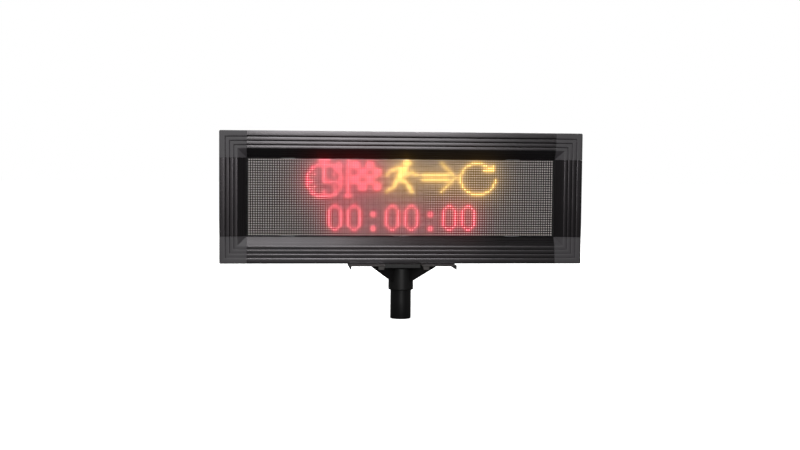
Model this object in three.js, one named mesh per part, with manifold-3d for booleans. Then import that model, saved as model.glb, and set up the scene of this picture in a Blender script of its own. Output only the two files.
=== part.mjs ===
// LED dot-matrix sign head on a 35 mm stand mast, in millimetres, +Z up.
// The origin is on the mast axis at the mast's lower end, and the display looks along -Y.
import * as THREE from "three";
import { mergeVertices } from "three/addons/utils/BufferGeometryUtils.js";
import Module from "manifold-3d";

const wasm = await Module();
wasm.setup();

// ---- Driving dimensions ------------------------------------------------------------------
const GAP = 0.3; // clearance between pieces that touch

// Display: two modules of 64 x 32 dots at a 4 mm pitch, side by side.
const DOT_PITCH = 4;
const MODULE_WIDTH = 64 * DOT_PITCH;
const MODULE_HEIGHT = 32 * DOT_PITCH;

// Case of mitre-stepped extruded rails with moulded corners.
const CASE_WIDTH = 604.8;
const CASE_HEIGHT = 219.2;
const CASE_BOTTOM = 93.9;
const CASE_TOP = CASE_BOTTOM + CASE_HEIGHT;
const CASE_MIDDLE = CASE_BOTTOM + CASE_HEIGHT / 2;
const FRONT_Y = -25;
const BACK_Y = 35;
const OUTER_EDGE_RADIUS = 1.8;
const FRONT_EDGE_BREAK = 0.6;
const CORNER_SIZE = 44.55;
const SPIGOT_LENGTH = 24; // tongue of a corner piece inside the rail's chamber
const SPIGOT_NEAR = 4;
const SPIGOT_FAR = 26;
const SPIGOT_ROOT = 20;
const SPIGOT_FRONT = -18;

// Rail section, measured inwards from the outer edge of the case.
const RAIL_WIDTH = 44.7;
const STEP_ENDS = [9, 16, 22.9]; // where each flat band of the face ends
const FACE_END = 29.4; // where the face turns into the sloped reveal
const STEP = 1.4; // each band lies this much deeper than the one outside it
const WALL = 2.2;
const LIP_Y = -12.7; // front of the reveal's inner lip
const POCKET_EDGE = 38.6; // side of the pocket that holds the window
const WEB_FRONT = 4;
const WEB_BACK = 6;
const LIP_DEPTH = 0.5;
const CHAMBER_INSET = 2;
const FLANGE_REACH = 14; // rear flange that takes the cover screws
const FLANGE_FRONT = 31.2;
const FLANGE_BACK = 33.2;
const COVER_SCREW_INSET = 8;
const COVER_SCREW_X = [-240, 0, 240];
const SCREW_HOLE_RADIUS = 2.2;

// Window and module stack, front to back.
const WINDOW_FRONT = -11.9;
const WINDOW_BACK = -10.3;
const MASK_FRONT = -9.9;
const MASK_BACK = -8.4;
const BOARD_BACK = -6.5;
const SEAL_BACK = -4;
const MODULE_CLEARANCE = 0.15;
const FRAME_WALL = 3;
const BAR_X = [-190, 0, 190];
const BAR_HALF_WIDTH = 12;
const BAR_THICKNESS = 2;

// Rear cover.
const COVER_FRONT = 33.5;
const COVER_BACK = 35;

// Mast mount.
const MAST_RADIUS = 17.5;
const MAST_WALL = 2;
const MAST_TOP = 82.5;
const SOCKET_BORE = 17.9;
const SOCKET_RADIUS = 21.1;
const SOCKET_BOTTOM = 48.7;
const SOCKET_CHAMFER = 0.8;
const HUB_HALF = 31;
const HUB_BOTTOM = 86.8;
const HUB_TOP = 91.3;
const NOSE_HALF_WIDTH = 30.3; // raised front of the hub, in the tray's notch
const NOSE_BACK = -25.2;
const NOSE_TOP = 93.3;
const RIB_ANGLE = 42.5;
const RIB_THICKNESS = 4;
const RIB_REACH = 70.2;
const RIB_FOOT = 61.9;
const RIB_TIP = 1;
const BOSS_RADIUS = 9.5;
const BOSS_BACK = 32;
const TRAY_BOTTOM = 91.6;
const TRAY_TOP = 93.6;
const TRAY_HALF_WIDTH = 88;
const TRAY_HALF_DEPTH = 50;
const TRAY_FLANGE_BACK = 35;
const TRAY_SHEET = 1.6;
const TRAY_LIP_BOTTOM = 86;
const TAB_INNER = 30;
const TAB_OUTER = 42;
const TAB_SLANT = 3;
const KNOB_HEIGHT = 61;
const BOLT_X = 24.5;
const BOLT_Y = 12;
const BOLT_RADIUS = 2.5;
const BOLT_HEAD = 3.5;
const NUT_HEIGHT = 4;
const HEX_RADIUS = 4.6;
const INSERT_RADIUS = 6;
const SCREW_RADIUS = 4;

// ---- Materials -----------------------------------------------------------------------------
function finish(color, roughness, metalness, extra = {}) {
  return new THREE.MeshStandardMaterial({ color, roughness, metalness, ...extra });
}
const BLACK_ANODISED = finish(0x2b2b2e, 0.38, 0.7);
const CORNER_PLASTIC = finish(0x3e3e40, 0.6, 0);
const BLACK_CASTING = finish(0x1b1b1d, 0.5, 0.2);
const PAINTED_TRAY = finish(0x232326, 0.45, 0.4);
const MAST_PAINT = finish(0x1e1e20, 0.4, 0.4);
const CLEAR_ACRYLIC = finish(0xdfe4e6, 0.08, 0, { transparent: true, opacity: 0.3 });
const MASK_PLASTIC = finish(0x2a2725, 0.7, 0);
const FOAM = finish(0x151515, 0.95, 0);
const CIRCUIT_BOARD = finish(0x14492f, 0.5, 0);
const ZINC_STEEL = finish(0xa9adb0, 0.35, 0.9);
const SUPPLY_METAL = finish(0xb9bcbe, 0.4, 0.8);
const BLACK_PLASTIC = finish(0x1a1a1b, 0.5, 0);
const RIBBON_GREY = finish(0x9a9c9e, 0.6, 0);
const LEAD_BLACK = finish(0x141414, 0.6, 0);
const BRASS = finish(0xb08d47, 0.35, 0.9);
const COVER_METAL = finish(0x26262a, 0.5, 0.6);

// ---- Solids --------------------------------------------------------------------------------
function toSolid(geometry) {
  const bare = geometry.clone();
  bare.deleteAttribute("normal");
  bare.deleteAttribute("uv");
  const merged = mergeVertices(bare, 1e-4);
  return new wasm.Manifold(
    new wasm.Mesh({
      numProp: 3,
      vertProperties: merged.attributes.position.array,
      triVerts: new Uint32Array(merged.index.array),
    }),
  );
}

function toGeometry(solid) {
  const { vertProperties, triVerts } = solid.getMesh();
  const geometry = new THREE.BufferGeometry();
  geometry.setAttribute("position", new THREE.BufferAttribute(vertProperties, 3));
  geometry.setIndex(new THREE.BufferAttribute(triVerts, 1));
  geometry.computeVertexNormals();
  return geometry;
}

// A block between two values on each axis.
function block([x0, x1], [y0, y1], [z0, z1]) {
  const geometry = new THREE.BoxGeometry(x1 - x0, y1 - y0, z1 - z0);
  geometry.translate((x0 + x1) / 2, (y0 + y1) / 2, (z0 + z1) / 2);
  return toSolid(geometry);
}

// A round bar, or a cone where the two radii differ, about a line along Z or Y.
function barZ(x, y, [z0, z1], radius, sides = 20, topRadius = radius) {
  const geometry = new THREE.CylinderGeometry(topRadius, radius, z1 - z0, sides);
  geometry.rotateX(Math.PI / 2);
  geometry.translate(x, y, (z0 + z1) / 2);
  return toSolid(geometry);
}
function barY(x, z, [y0, y1], radius, sides = 20, backRadius = radius) {
  const geometry = new THREE.CylinderGeometry(backRadius, radius, y1 - y0, sides);
  geometry.translate(x, (y0 + y1) / 2, z);
  return toSolid(geometry);
}

// A prism along Z of an outline in X and Y, with holes if any.
function prismZ(points, [z0, z1], holes = []) {
  const shape = new THREE.Shape(points.map(([x, y]) => new THREE.Vector2(x, y)));
  for (const hole of holes) {
    shape.holes.push(new THREE.Path(hole.map(([x, y]) => new THREE.Vector2(x, y))));
  }
  const geometry = new THREE.ExtrudeGeometry(shape, { depth: z1 - z0, bevelEnabled: false });
  geometry.translate(0, 0, z0);
  return toSolid(geometry);
}

function joined(first, ...others) {
  return others.reduce((sum, solid) => sum.add(solid), first);
}
function cut(first, ...others) {
  return others.reduce((rest, solid) => rest.subtract(solid), first);
}

function part(name, solid, material) {
  const mesh = new THREE.Mesh(toGeometry(solid), material);
  mesh.name = name;
  return mesh;
}

// ---- Case ----------------------------------------------------------------------------------
// Outline of a rail: X is the distance in from the outer edge and Y is the case's own depth.
function railOutline() {
  const [first, second, third] = STEP_ENDS;
  return [
    [0, BACK_Y],
    [0, FRONT_Y + FRONT_EDGE_BREAK],
    [FRONT_EDGE_BREAK, FRONT_Y],
    [first, FRONT_Y],
    [first + STEP, FRONT_Y + STEP],
    [second, FRONT_Y + STEP],
    [second + STEP, FRONT_Y + 2 * STEP],
    [third, FRONT_Y + 2 * STEP],
    [third + STEP, FRONT_Y + 3 * STEP],
    [FACE_END, FRONT_Y + 3 * STEP],
    [RAIL_WIDTH, LIP_Y],
    [RAIL_WIDTH, LIP_Y + LIP_DEPTH],
    [POCKET_EDGE, LIP_Y + LIP_DEPTH],
    [POCKET_EDGE, WEB_BACK],
    [WALL, WEB_BACK],
    [WALL, FLANGE_FRONT],
    [FLANGE_REACH, FLANGE_FRONT],
    [FLANGE_REACH, FLANGE_BACK],
    [WALL, FLANGE_BACK],
    [WALL, BACK_Y],
  ];
}

// The rail's inner chamber follows the stepped face one wall behind it.
function chamberOutline() {
  const [first, second, third] = STEP_ENDS.map((end) => end - 0.8);
  const skin = FRONT_Y + WALL;
  return [
    [WALL, WEB_FRONT],
    [WALL, skin],
    [first, skin],
    [first + STEP, skin + STEP],
    [second, skin + STEP],
    [second + STEP, skin + 2 * STEP],
    [third, skin + 2 * STEP],
    [third + STEP, skin + 3 * STEP],
    [FACE_END - 0.6, skin + 3 * STEP],
    [POCKET_EDGE - CHAMBER_INSET, LIP_Y - 1.6],
    [POCKET_EDGE - CHAMBER_INSET, WEB_FRONT],
  ];
}

// A rail stands on its own origin along +Z, and is turned about Y into its side of the case.
function railSolid(length) {
  return prismZ(railOutline(), [0, length], [chamberOutline()]);
}

// The rail section along both edges of a square block: where the two cross, they meet in a mitre.
function corner() {
  const upright = prismZ(railOutline(), [-CORNER_SIZE, 0]);
  const lying = upright.rotate([0, -90, 0]).mirror([0, 0, 1]);
  const depth = [SPIGOT_FRONT, WEB_FRONT - 2 * GAP];
  const reach = CORNER_SIZE + SPIGOT_LENGTH;
  const spigotDown = block([SPIGOT_NEAR, SPIGOT_FAR], depth, [-reach, -SPIGOT_ROOT]);
  const spigotAcross = block([SPIGOT_ROOT, reach], depth, [-SPIGOT_FAR, -SPIGOT_NEAR]);
  const sharpEdge = cut(
    block([-1, OUTER_EDGE_RADIUS], [-60, 60], [-OUTER_EDGE_RADIUS, 1]),
    barY(OUTER_EDGE_RADIUS, -OUTER_EDGE_RADIUS, [-70, 70], OUTER_EDGE_RADIUS, 24),
  );
  return cut(joined(upright, lying, spigotDown, spigotAcross), sharpEdge);
}

function buildCase() {
  const group = new THREE.Group();
  const halfWidth = CASE_WIDTH / 2;
  const across = CASE_WIDTH - 2 * RAIL_WIDTH - 2 * GAP;
  const upright = CASE_HEIGHT - 2 * RAIL_WIDTH - 2 * GAP;
  const screwHole = (along) => barY(COVER_SCREW_INSET, along, [30, 36], SCREW_HOLE_RADIUS, 12);
  const holes = COVER_SCREW_X.map((x) => screwHole(x + across / 2));
  const longRail = cut(railSolid(across), ...holes);

  const top = part("rail_top", longRail, BLACK_ANODISED);
  top.rotation.y = Math.PI / 2;
  top.position.set(-across / 2, 0, CASE_TOP);

  const boltHoles = [];
  for (const x of [-BOLT_X, BOLT_X]) {
    for (const y of [-BOLT_Y, BOLT_Y]) {
      const hole = new THREE.CylinderGeometry(BOLT_RADIUS + GAP, BOLT_RADIUS + GAP, 6, 16);
      hole.rotateZ(Math.PI / 2);
      hole.translate(0, y, x + across / 2);
      boltHoles.push(toSolid(hole));
    }
  }
  const bottom = part("rail_bottom", cut(longRail, ...boltHoles), BLACK_ANODISED);
  bottom.rotation.y = -Math.PI / 2;
  bottom.position.set(across / 2, 0, CASE_BOTTOM);

  const left = part("rail_left", railSolid(upright), BLACK_ANODISED);
  left.position.set(-halfWidth, 0, CASE_MIDDLE - upright / 2);
  const right = part("rail_right", railSolid(upright), BLACK_ANODISED);
  right.rotation.y = Math.PI;
  right.position.set(halfWidth, 0, CASE_MIDDLE + upright / 2);

  const cornerSolid = corner();
  const corners = [
    ["corner_top_left", -halfWidth, CASE_TOP, 0],
    ["corner_top_right", halfWidth, CASE_TOP, 1],
    ["corner_bottom_right", halfWidth, CASE_BOTTOM, 2],
    ["corner_bottom_left", -halfWidth, CASE_BOTTOM, 3],
  ];
  for (const [name, x, z, turns] of corners) {
    const mesh = part(name, cornerSolid, CORNER_PLASTIC);
    mesh.rotation.y = (turns * Math.PI) / 2;
    mesh.position.set(x, 0, z);
    group.add(mesh);
  }
  group.add(top, bottom, left, right);
  return group;
}

// ---- Window, modules and their bars ------------------------------------------------------------
function around(halfWidth, halfHeight) {
  return [
    [-halfWidth, halfWidth],
    [CASE_MIDDLE - halfHeight, CASE_MIDDLE + halfHeight],
  ];
}

function buildWindow() {
  const group = new THREE.Group();
  const [xs, zs] = around(CASE_WIDTH / 2 - POCKET_EDGE - 0.4, CASE_HEIGHT / 2 - POCKET_EDGE - 0.4);
  group.add(part("front_window", block(xs, [WINDOW_FRONT, WINDOW_BACK], zs), CLEAR_ACRYLIC));
  const sealDepth = [WINDOW_BACK + GAP, SEAL_BACK];
  const [innerX, innerZ] = around(MODULE_WIDTH + 1.2, MODULE_HEIGHT / 2 + 1.2);
  const seal = cut(block(xs, sealDepth, zs), block(innerX, [-20, 0], innerZ));
  group.add(part("window_seal", seal, FOAM));
  return group;
}

// Each board has a data socket near either end and a power socket in the middle of its back.
const SOCKET_OFFSET = 98;
const SOCKET_DROP = 40;
const SOCKET_BACK = 2;
function ledBoard(middle) {
  const half = MODULE_WIDTH / 2 - MODULE_CLEARANCE;
  const halfHeight = MODULE_HEIGHT / 2 - MODULE_CLEARANCE;
  const sheet = block(
    [middle - half, middle + half],
    [MASK_BACK + GAP, BOARD_BACK],
    [CASE_MIDDLE - halfHeight, CASE_MIDDLE + halfHeight],
  );
  const socketHeight = CASE_MIDDLE - SOCKET_DROP;
  const dataSocket = (x) =>
    block([x - 5, x + 5], [BOARD_BACK - 0.5, SOCKET_BACK], [socketHeight - 13, socketHeight + 13]);
  const powerSocket = block(
    [middle - 8, middle + 8],
    [BOARD_BACK - 0.5, 1],
    [CASE_MIDDLE + 20, CASE_MIDDLE + 32],
  );
  return joined(
    sheet,
    dataSocket(middle - SOCKET_OFFSET),
    dataSocket(middle + SOCKET_OFFSET),
    powerSocket,
  );
}

function moduleFrame(middle) {
  const half = MODULE_WIDTH / 2 - MODULE_CLEARANCE;
  const halfHeight = MODULE_HEIGHT / 2 - MODULE_CLEARANCE;
  const depth = [BOARD_BACK + GAP, WEB_BACK];
  const wall = FRAME_WALL;
  const outer = block(
    [middle - half, middle + half],
    depth,
    [CASE_MIDDLE - halfHeight, CASE_MIDDLE + halfHeight],
  );
  const bayWidth = (2 * half - 4 * wall) / 3;
  const bayHeight = (2 * halfHeight - 3 * wall) / 2;
  let frame = outer;
  for (let column = 0; column < 3; column++) {
    const x0 = middle - half + wall + column * (bayWidth + wall);
    for (let row = 0; row < 2; row++) {
      const z0 = CASE_MIDDLE - halfHeight + wall + row * (bayHeight + wall);
      frame = frame.subtract(block([x0, x0 + bayWidth], [-20, 20], [z0, z0 + bayHeight]));
    }
  }
  return frame;
}

function buildModules() {
  const group = new THREE.Group();
  const half = MODULE_WIDTH / 2 - MODULE_CLEARANCE;
  const halfHeight = MODULE_HEIGHT / 2 - MODULE_CLEARANCE;
  const zs = [CASE_MIDDLE - halfHeight, CASE_MIDDLE + halfHeight];
  for (const [side, middle] of [
    ["left", -MODULE_WIDTH / 2],
    ["right", MODULE_WIDTH / 2],
  ]) {
    const mask = block([middle - half, middle + half], [MASK_FRONT, MASK_BACK], zs);
    group.add(part("led_mask_" + side, mask, MASK_PLASTIC));
    group.add(part("led_board_" + side, ledBoard(middle), CIRCUIT_BOARD));
    group.add(part("module_frame_" + side, moduleFrame(middle), BLACK_PLASTIC));
  }
  const barDepth = [WEB_BACK + GAP, WEB_BACK + GAP + BAR_THICKNESS];
  const barHeight = [CASE_BOTTOM + COVER_SCREW_INSET, CASE_TOP - COVER_SCREW_INSET];
  BAR_X.forEach((x, i) => {
    const bar = block([x - BAR_HALF_WIDTH, x + BAR_HALF_WIDTH], barDepth, barHeight);
    group.add(part("module_bar_" + (i + 1), bar, ZINC_STEEL));
  });
  return group;
}

// ---- Electronics ---------------------------------------------------------------------------------
// A flat cable 22 mm wide that crosses behind the modules, its two ends turned forwards.
function ribbon(left, right, endY, backY, z) {
  const thick = 1;
  const outline = [
    [left, endY],
    [left + thick, endY],
    [left + thick, backY - 2],
    [left + 2, backY - thick],
    [right - 2, backY - thick],
    [right - thick, backY - 2],
    [right - thick, endY],
    [right, endY],
    [right, backY - 2],
    [right - 2, backY],
    [left + 2, backY],
    [left, backY - 2],
  ];
  return prismZ(outline, [z - 11, z + 11]);
}

// Leads held inside the case, each through a few chosen points from one terminal to the next.
const SUPPLY_LEAD = [
  [201, 18, 150],
  [190, 17.8, 151],
  [176, 17, 166],
  [156, 17, 172],
  [60, 17, 172],
  [-60, 17, 172],
  [-108, 17, 178],
  [-130, 18, 198],
  [-143.6, 19, 206],
];
const LEFT_MODULE_LEAD = [
  [-143.6, 17, 222],
  [-138, 16.5, 224],
  [-131, 12, 228],
  [-128, 7, 229.5],
  [-128, 1.8, 229.5],
];
const RIGHT_MODULE_LEAD = [
  [-143.6, 20, 236],
  [-133, 19, 239],
  [-115, 14, 240],
  [-90, 12.2, 238],
  [0, 12, 236],
  [90, 12, 234],
  [118, 11, 231],
  [127, 7, 229.6],
  [128, 1.8, 229.5],
];

function lead(points, radius, steps) {
  const path = new THREE.CatmullRomCurve3(points.map(([x, y, z]) => new THREE.Vector3(x, y, z)));
  const section = new THREE.Shape();
  section.absarc(0, 0, radius, 0, 2 * Math.PI);
  const options = { steps, extrudePath: path, curveSegments: 4 };
  return toSolid(new THREE.ExtrudeGeometry(section, options));
}

function powerSupply() {
  const shell = block([-238, -142], [8.6, 28], [188, 246]);
  const terminalNotch = block([-160, -130], [14, 40], [180, 260]);
  const terminals = block([-159, -145], [13.5, 24], [193, 241]);
  return joined(cut(shell, terminalNotch), terminals);
}

function controlCard() {
  const sheet = block([-62, 62], [18, 19.6], [186, 262]);
  const processor = block([-12, 12], [19.4, 22], [210, 234]);
  const header = block([-58, -48], [19.4, 26], [190, 216]);
  const jackSocket = block([40, 60], [19.4, 30], [192, 206]);
  const terminals = block([-20, 16], [19.4, 29], [250, 259]);
  return joined(sheet, processor, header, jackSocket, terminals);
}

function buildElectronics() {
  const group = new THREE.Group();
  group.add(part("power_supply", powerSupply(), SUPPLY_METAL));
  group.add(part("control_card", controlCard(), CIRCUIT_BOARD));
  for (const [number, z] of [
    [1, 192],
    [2, 256],
  ]) {
    const spacer = barY(0, z, [8.6, 17.7], 3, 6);
    group.add(part("card_spacer_" + number, spacer, BRASS));
  }
  const reach = MODULE_WIDTH / 2 - SOCKET_OFFSET;
  const link = ribbon(-reach, reach, SOCKET_BACK + GAP, 13, CASE_MIDDLE - SOCKET_DROP);
  group.add(part("ribbon_cable_link", link, RIBBON_GREY));
  group.add(part("supply_lead", lead(SUPPLY_LEAD, 2.2, 44), LEAD_BLACK));
  group.add(part("module_lead_left", lead(LEFT_MODULE_LEAD, 1.6, 12), LEAD_BLACK));
  group.add(part("module_lead_right", lead(RIGHT_MODULE_LEAD, 1.6, 36), LEAD_BLACK));
  return group;
}

// ---- Rear cover and what is set in it --------------------------------------------------------------
const INLET = { x: 216, z: 150 };
const SWITCH = { x: 166, z: 150 };
const JACK = { x: 126, z: 150 };
const BUTTON = { x: 94, z: 150 };
const VENT_X = [-200, 200];
const VENT_ROWS = 6;
const VENT_FIRST = 22; // lowest slot above the case's middle
const VENT_PITCH = 9;
const VENT_HEIGHT = 3.2;
const VENT_HALF_WIDTH = 30;

function coverScrewPlaces() {
  const places = [];
  for (const z of [CASE_BOTTOM + COVER_SCREW_INSET, CASE_TOP - COVER_SCREW_INSET]) {
    for (const x of COVER_SCREW_X) {
      places.push([x, z]);
    }
  }
  return places;
}

function backCover() {
  const inset = WALL + 0.4;
  const sheet = block(
    [-CASE_WIDTH / 2 + inset, CASE_WIDTH / 2 - inset],
    [COVER_FRONT, COVER_BACK],
    [CASE_BOTTOM + inset, CASE_TOP - inset],
  );
  const through = [30, 40];
  const holes = coverScrewPlaces().map(([x, z]) => barY(x, z, through, SCREW_HOLE_RADIUS, 12));
  for (const middle of VENT_X) {
    for (let row = 0; row < VENT_ROWS; row++) {
      const z = CASE_MIDDLE + VENT_FIRST + row * VENT_PITCH;
      const across = [middle - VENT_HALF_WIDTH, middle + VENT_HALF_WIDTH];
      holes.push(block(across, through, [z, z + VENT_HEIGHT]));
    }
  }
  holes.push(block([INLET.x - 14, INLET.x + 14], through, [INLET.z - 10.4, INLET.z + 10.4]));
  holes.push(block([SWITCH.x - 8, SWITCH.x + 8], through, [SWITCH.z - 11.5, SWITCH.z + 11.5]));
  holes.push(block([JACK.x - 9, JACK.x + 9], through, [JACK.z - 9, JACK.z + 9]));
  holes.push(barY(BUTTON.x, BUTTON.z, through, 6.5, 20));
  return cut(sheet, ...holes);
}

// Pan-head screw whose shank passes the cover and the rail's rear flange.
function coverScrew(x, z) {
  const shank = barY(x, z, [29, COVER_BACK + 0.5], 1.8, 12);
  const head = barY(x, z, [COVER_BACK + GAP, COVER_BACK + 2.4], 4, 16, 3);
  return joined(head, shank);
}

// Three-pin mains inlet: a flanged body with the plug's hollow and three flat pins.
function powerInlet() {
  const { x, z } = INLET;
  const body = block([x - 13.6, x + 13.6], [14, COVER_BACK + 1], [z - 10, z + 10]);
  const flange = block([x - 24, x + 24], [COVER_BACK + GAP, COVER_BACK + 3], [z - 13, z + 13]);
  const hollow = block([x - 11.5, x + 11.5], [20, 45], [z - 7.6, z + 7.6]);
  const pin = (dx, dz) => block([x + dx - 1, x + dx + 1], [19, 31], [z + dz - 2, z + dz + 2]);
  return joined(cut(joined(body, flange), hollow), pin(-7, -2), pin(0, 2), pin(7, -2));
}

// Switch housing with the well that the rocker tilts in.
const ROCKER_PIVOT_Y = 34;
const ROCKER_TILT = 8;
function switchHousing() {
  const { x, z } = SWITCH;
  const body = block([x - 7.6, x + 7.6], [20, COVER_BACK + 1], [z - 11.1, z + 11.1]);
  const flange = block([x - 10.5, x + 10.5], [COVER_BACK + GAP, COVER_BACK + 2], [z - 14, z + 14]);
  const well = block([x - 6.4, x + 6.4], [27, 45], [z - 10, z + 10]);
  return cut(joined(body, flange), well);
}
function rocker() {
  const outline = [
    [-9, 0],
    [9, 0],
    [9, 3.5],
    [0, 2.6],
    [-9, 3.5],
  ];
  const cap = prismZ(outline, [-5.9, 5.9]);
  const hub = barZ(0, -1, [-5.9, 5.9], 3, 16);
  return joined(cap, hub).rotate([0, 90, 0]);
}

function dataJack() {
  const { x, z } = JACK;
  const body = block([x - 8.6, x + 8.6], [16, COVER_BACK + 1.2], [z - 8.6, z + 8.6]);
  const hollow = block([x - 6, x + 6], [22, 45], [z - 5, z + 5]);
  return cut(body, hollow);
}

function buttonHousing() {
  const { x, z } = BUTTON;
  const body = barY(x, z, [24, COVER_BACK + 1], 6.2);
  const flange = barY(x, z, [COVER_BACK + GAP, COVER_BACK + 1.8], 8.5, 24);
  const bore = barY(x, z, [28, 45], 4.4);
  return cut(joined(body, flange), bore);
}

function buildRear() {
  const group = new THREE.Group();
  group.add(part("back_cover", backCover(), COVER_METAL));
  coverScrewPlaces().forEach(([x, z], i) => {
    group.add(part("cover_screw_" + (i + 1), coverScrew(x, z), ZINC_STEEL));
  });
  group.add(part("power_inlet", powerInlet(), BLACK_PLASTIC));
  group.add(part("switch_housing", switchHousing(), BLACK_PLASTIC));
  const rockerMesh = part("switch_rocker", rocker(), BLACK_PLASTIC);
  rockerMesh.rotation.x = THREE.MathUtils.degToRad(-ROCKER_TILT);
  rockerMesh.position.set(SWITCH.x, ROCKER_PIVOT_Y, SWITCH.z);
  group.add(rockerMesh);
  group.add(part("data_jack", dataJack(), BLACK_PLASTIC));
  group.add(part("button_housing", buttonHousing(), BLACK_PLASTIC));
  const plunger = barY(BUTTON.x, BUTTON.z, [31, 38.6], 4, 24);
  group.add(part("test_button", plunger, BLACK_PLASTIC));
  return group;
}

// ---- Mast mount -----------------------------------------------------------------------------------
// One casting: a square hub, four diagonal ribs, and the collar that the mast enters from below.
function poleSocket() {
  const hub = block([-HUB_HALF, HUB_HALF], [-HUB_HALF, HUB_HALF], [HUB_BOTTOM, HUB_TOP]);
  const nose = block(
    [-NOSE_HALF_WIDTH, NOSE_HALF_WIDTH],
    [-HUB_HALF, NOSE_BACK],
    [HUB_TOP - 1, NOSE_TOP],
  );
  const rim = SOCKET_RADIUS - SOCKET_CHAMFER;
  const chamferTop = SOCKET_BOTTOM + SOCKET_CHAMFER;
  const collarWall = joined(
    barZ(0, 0, [chamferTop, HUB_BOTTOM + 1], SOCKET_RADIUS, 48),
    barZ(0, 0, [SOCKET_BOTTOM, chamferTop], rim, 48, SOCKET_RADIUS),
  );
  const ribOutline = [
    [SOCKET_RADIUS - 1, RIB_FOOT],
    [RIB_REACH, HUB_TOP - RIB_TIP],
    [RIB_REACH, HUB_TOP],
    [SOCKET_RADIUS - 1, HUB_TOP],
  ];
  const rib = prismZ(ribOutline, [-RIB_THICKNESS / 2, RIB_THICKNESS / 2]).rotate([90, 0, 0]);
  let casting = joined(hub, nose, collarWall);
  for (const angle of [RIB_ANGLE, 180 - RIB_ANGLE, 180 + RIB_ANGLE, 360 - RIB_ANGLE]) {
    casting = casting.add(rib.rotate([0, 0, angle]));
  }
  casting = casting.add(barY(0, KNOB_HEIGHT, [SOCKET_BORE + 1, BOSS_BACK], BOSS_RADIUS, 24));
  const mastBore = barZ(0, 0, [SOCKET_BOTTOM - 5, HUB_BOTTOM], SOCKET_BORE, 48);
  const insertBore = barY(0, KNOB_HEIGHT, [10, 40], INSERT_RADIUS + GAP);
  const boltHoles = boltHolesFrom(HUB_BOTTOM - 5, HUB_TOP + 5);
  return cut(casting, mastBore, insertBore, ...boltHoles);
}

function boltHolesFrom(z0, z1) {
  const holes = [];
  for (const x of [-BOLT_X, BOLT_X]) {
    for (const y of [-BOLT_Y, BOLT_Y]) {
      holes.push(barZ(x, y, [z0, z1], BOLT_RADIUS + GAP, 16));
    }
  }
  return holes;
}

// Folded sheet under the case, notched at the front for the hub's nose: end flanges and four tabs
// are turned down.
function supportTray() {
  const { max, min } = Math;
  const x = TRAY_HALF_WIDTH;
  const y = TRAY_HALF_DEPTH;
  const lip = [TRAY_LIP_BOTTOM, TRAY_BOTTOM + 1];
  const notchHalf = NOSE_HALF_WIDTH + GAP;
  const notch = block([-notchHalf, notchHalf], [-y - 1, NOSE_BACK + GAP], [80, 100]);
  let tray = cut(block([-x, x], [-y, y], [TRAY_BOTTOM, TRAY_TOP]), notch);
  for (const side of [-1, 1]) {
    const end = [side * x, side * (x - TRAY_SHEET)];
    tray = tray.add(block([min(...end), max(...end)], [-y, TRAY_FLANGE_BACK], lip));
    const tab = prismZ(
      [
        [side * (TAB_INNER + 1), TRAY_BOTTOM + 1],
        [side * TAB_OUTER, TRAY_BOTTOM + 1],
        [side * TAB_OUTER, TRAY_LIP_BOTTOM],
        [side * (TAB_INNER + TAB_SLANT), TRAY_LIP_BOTTOM],
      ],
      [-TRAY_SHEET / 2, TRAY_SHEET / 2],
    ).rotate([90, 0, 0]);
    for (const face of [-1, 1]) {
      tray = tray.add(tab.translate([0, face * (y - TRAY_SHEET / 2), 0]));
    }
  }
  return cut(tray, ...boltHolesFrom(TRAY_BOTTOM - 5, TRAY_TOP + 5));
}

function trayBolt(x, y) {
  const under = HUB_BOTTOM - GAP;
  const head = barZ(x, y, [under - BOLT_HEAD, under], HEX_RADIUS, 6);
  const shank = barZ(x, y, [under - 0.5, CASE_BOTTOM + 8], BOLT_RADIUS, 12);
  return joined(head, shank);
}
function trayNut(x, y) {
  const from = CASE_BOTTOM + WALL + GAP;
  const thread = barZ(x, y, [from - 2, from + 8], BOLT_RADIUS + GAP, 12);
  return cut(barZ(x, y, [from, from + NUT_HEIGHT], HEX_RADIUS, 6), thread);
}

// Five-lobed hand knob with a stepped hub towards the collar.
function clampKnob() {
  const hub = barY(0, KNOB_HEIGHT, [33, 37.5], 7.5, 24);
  const core = barY(0, KNOB_HEIGHT, [37, 49], 11, 30);
  let knob = joined(hub, core);
  for (let lobe = 0; lobe < 5; lobe++) {
    const angle = (2 * Math.PI * lobe) / 5 + Math.PI / 2;
    const x = 10 * Math.cos(angle);
    const z = KNOB_HEIGHT + 10 * Math.sin(angle);
    knob = knob.add(barY(x, z, [38, 49], 5, 18));
  }
  return cut(knob, barY(0, KNOB_HEIGHT, [20, 46], SCREW_RADIUS + GAP));
}

function buildMount() {
  const group = new THREE.Group();
  group.add(part("pole_socket", poleSocket(), BLACK_CASTING));
  group.add(part("support_tray", supportTray(), PAINTED_TRAY));
  let number = 1;
  for (const x of [-BOLT_X, BOLT_X]) {
    for (const y of [-BOLT_Y, BOLT_Y]) {
      group.add(part("tray_bolt_" + number, trayBolt(x, y), ZINC_STEEL));
      group.add(part("tray_nut_" + number, trayNut(x, y), ZINC_STEEL));
      number += 1;
    }
  }
  const insert = cut(
    barY(0, KNOB_HEIGHT, [SOCKET_BORE + 1.2, BOSS_BACK], INSERT_RADIUS),
    barY(0, KNOB_HEIGHT, [10, 40], SCREW_RADIUS + GAP),
  );
  const screw = barY(0, KNOB_HEIGHT, [MAST_RADIUS + GAP, 45.5], SCREW_RADIUS);
  group.add(part("clamp_insert", insert, BRASS));
  group.add(part("clamp_screw", screw, ZINC_STEEL));
  group.add(part("clamp_knob", clampKnob(), BLACK_PLASTIC));
  return group;
}

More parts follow.
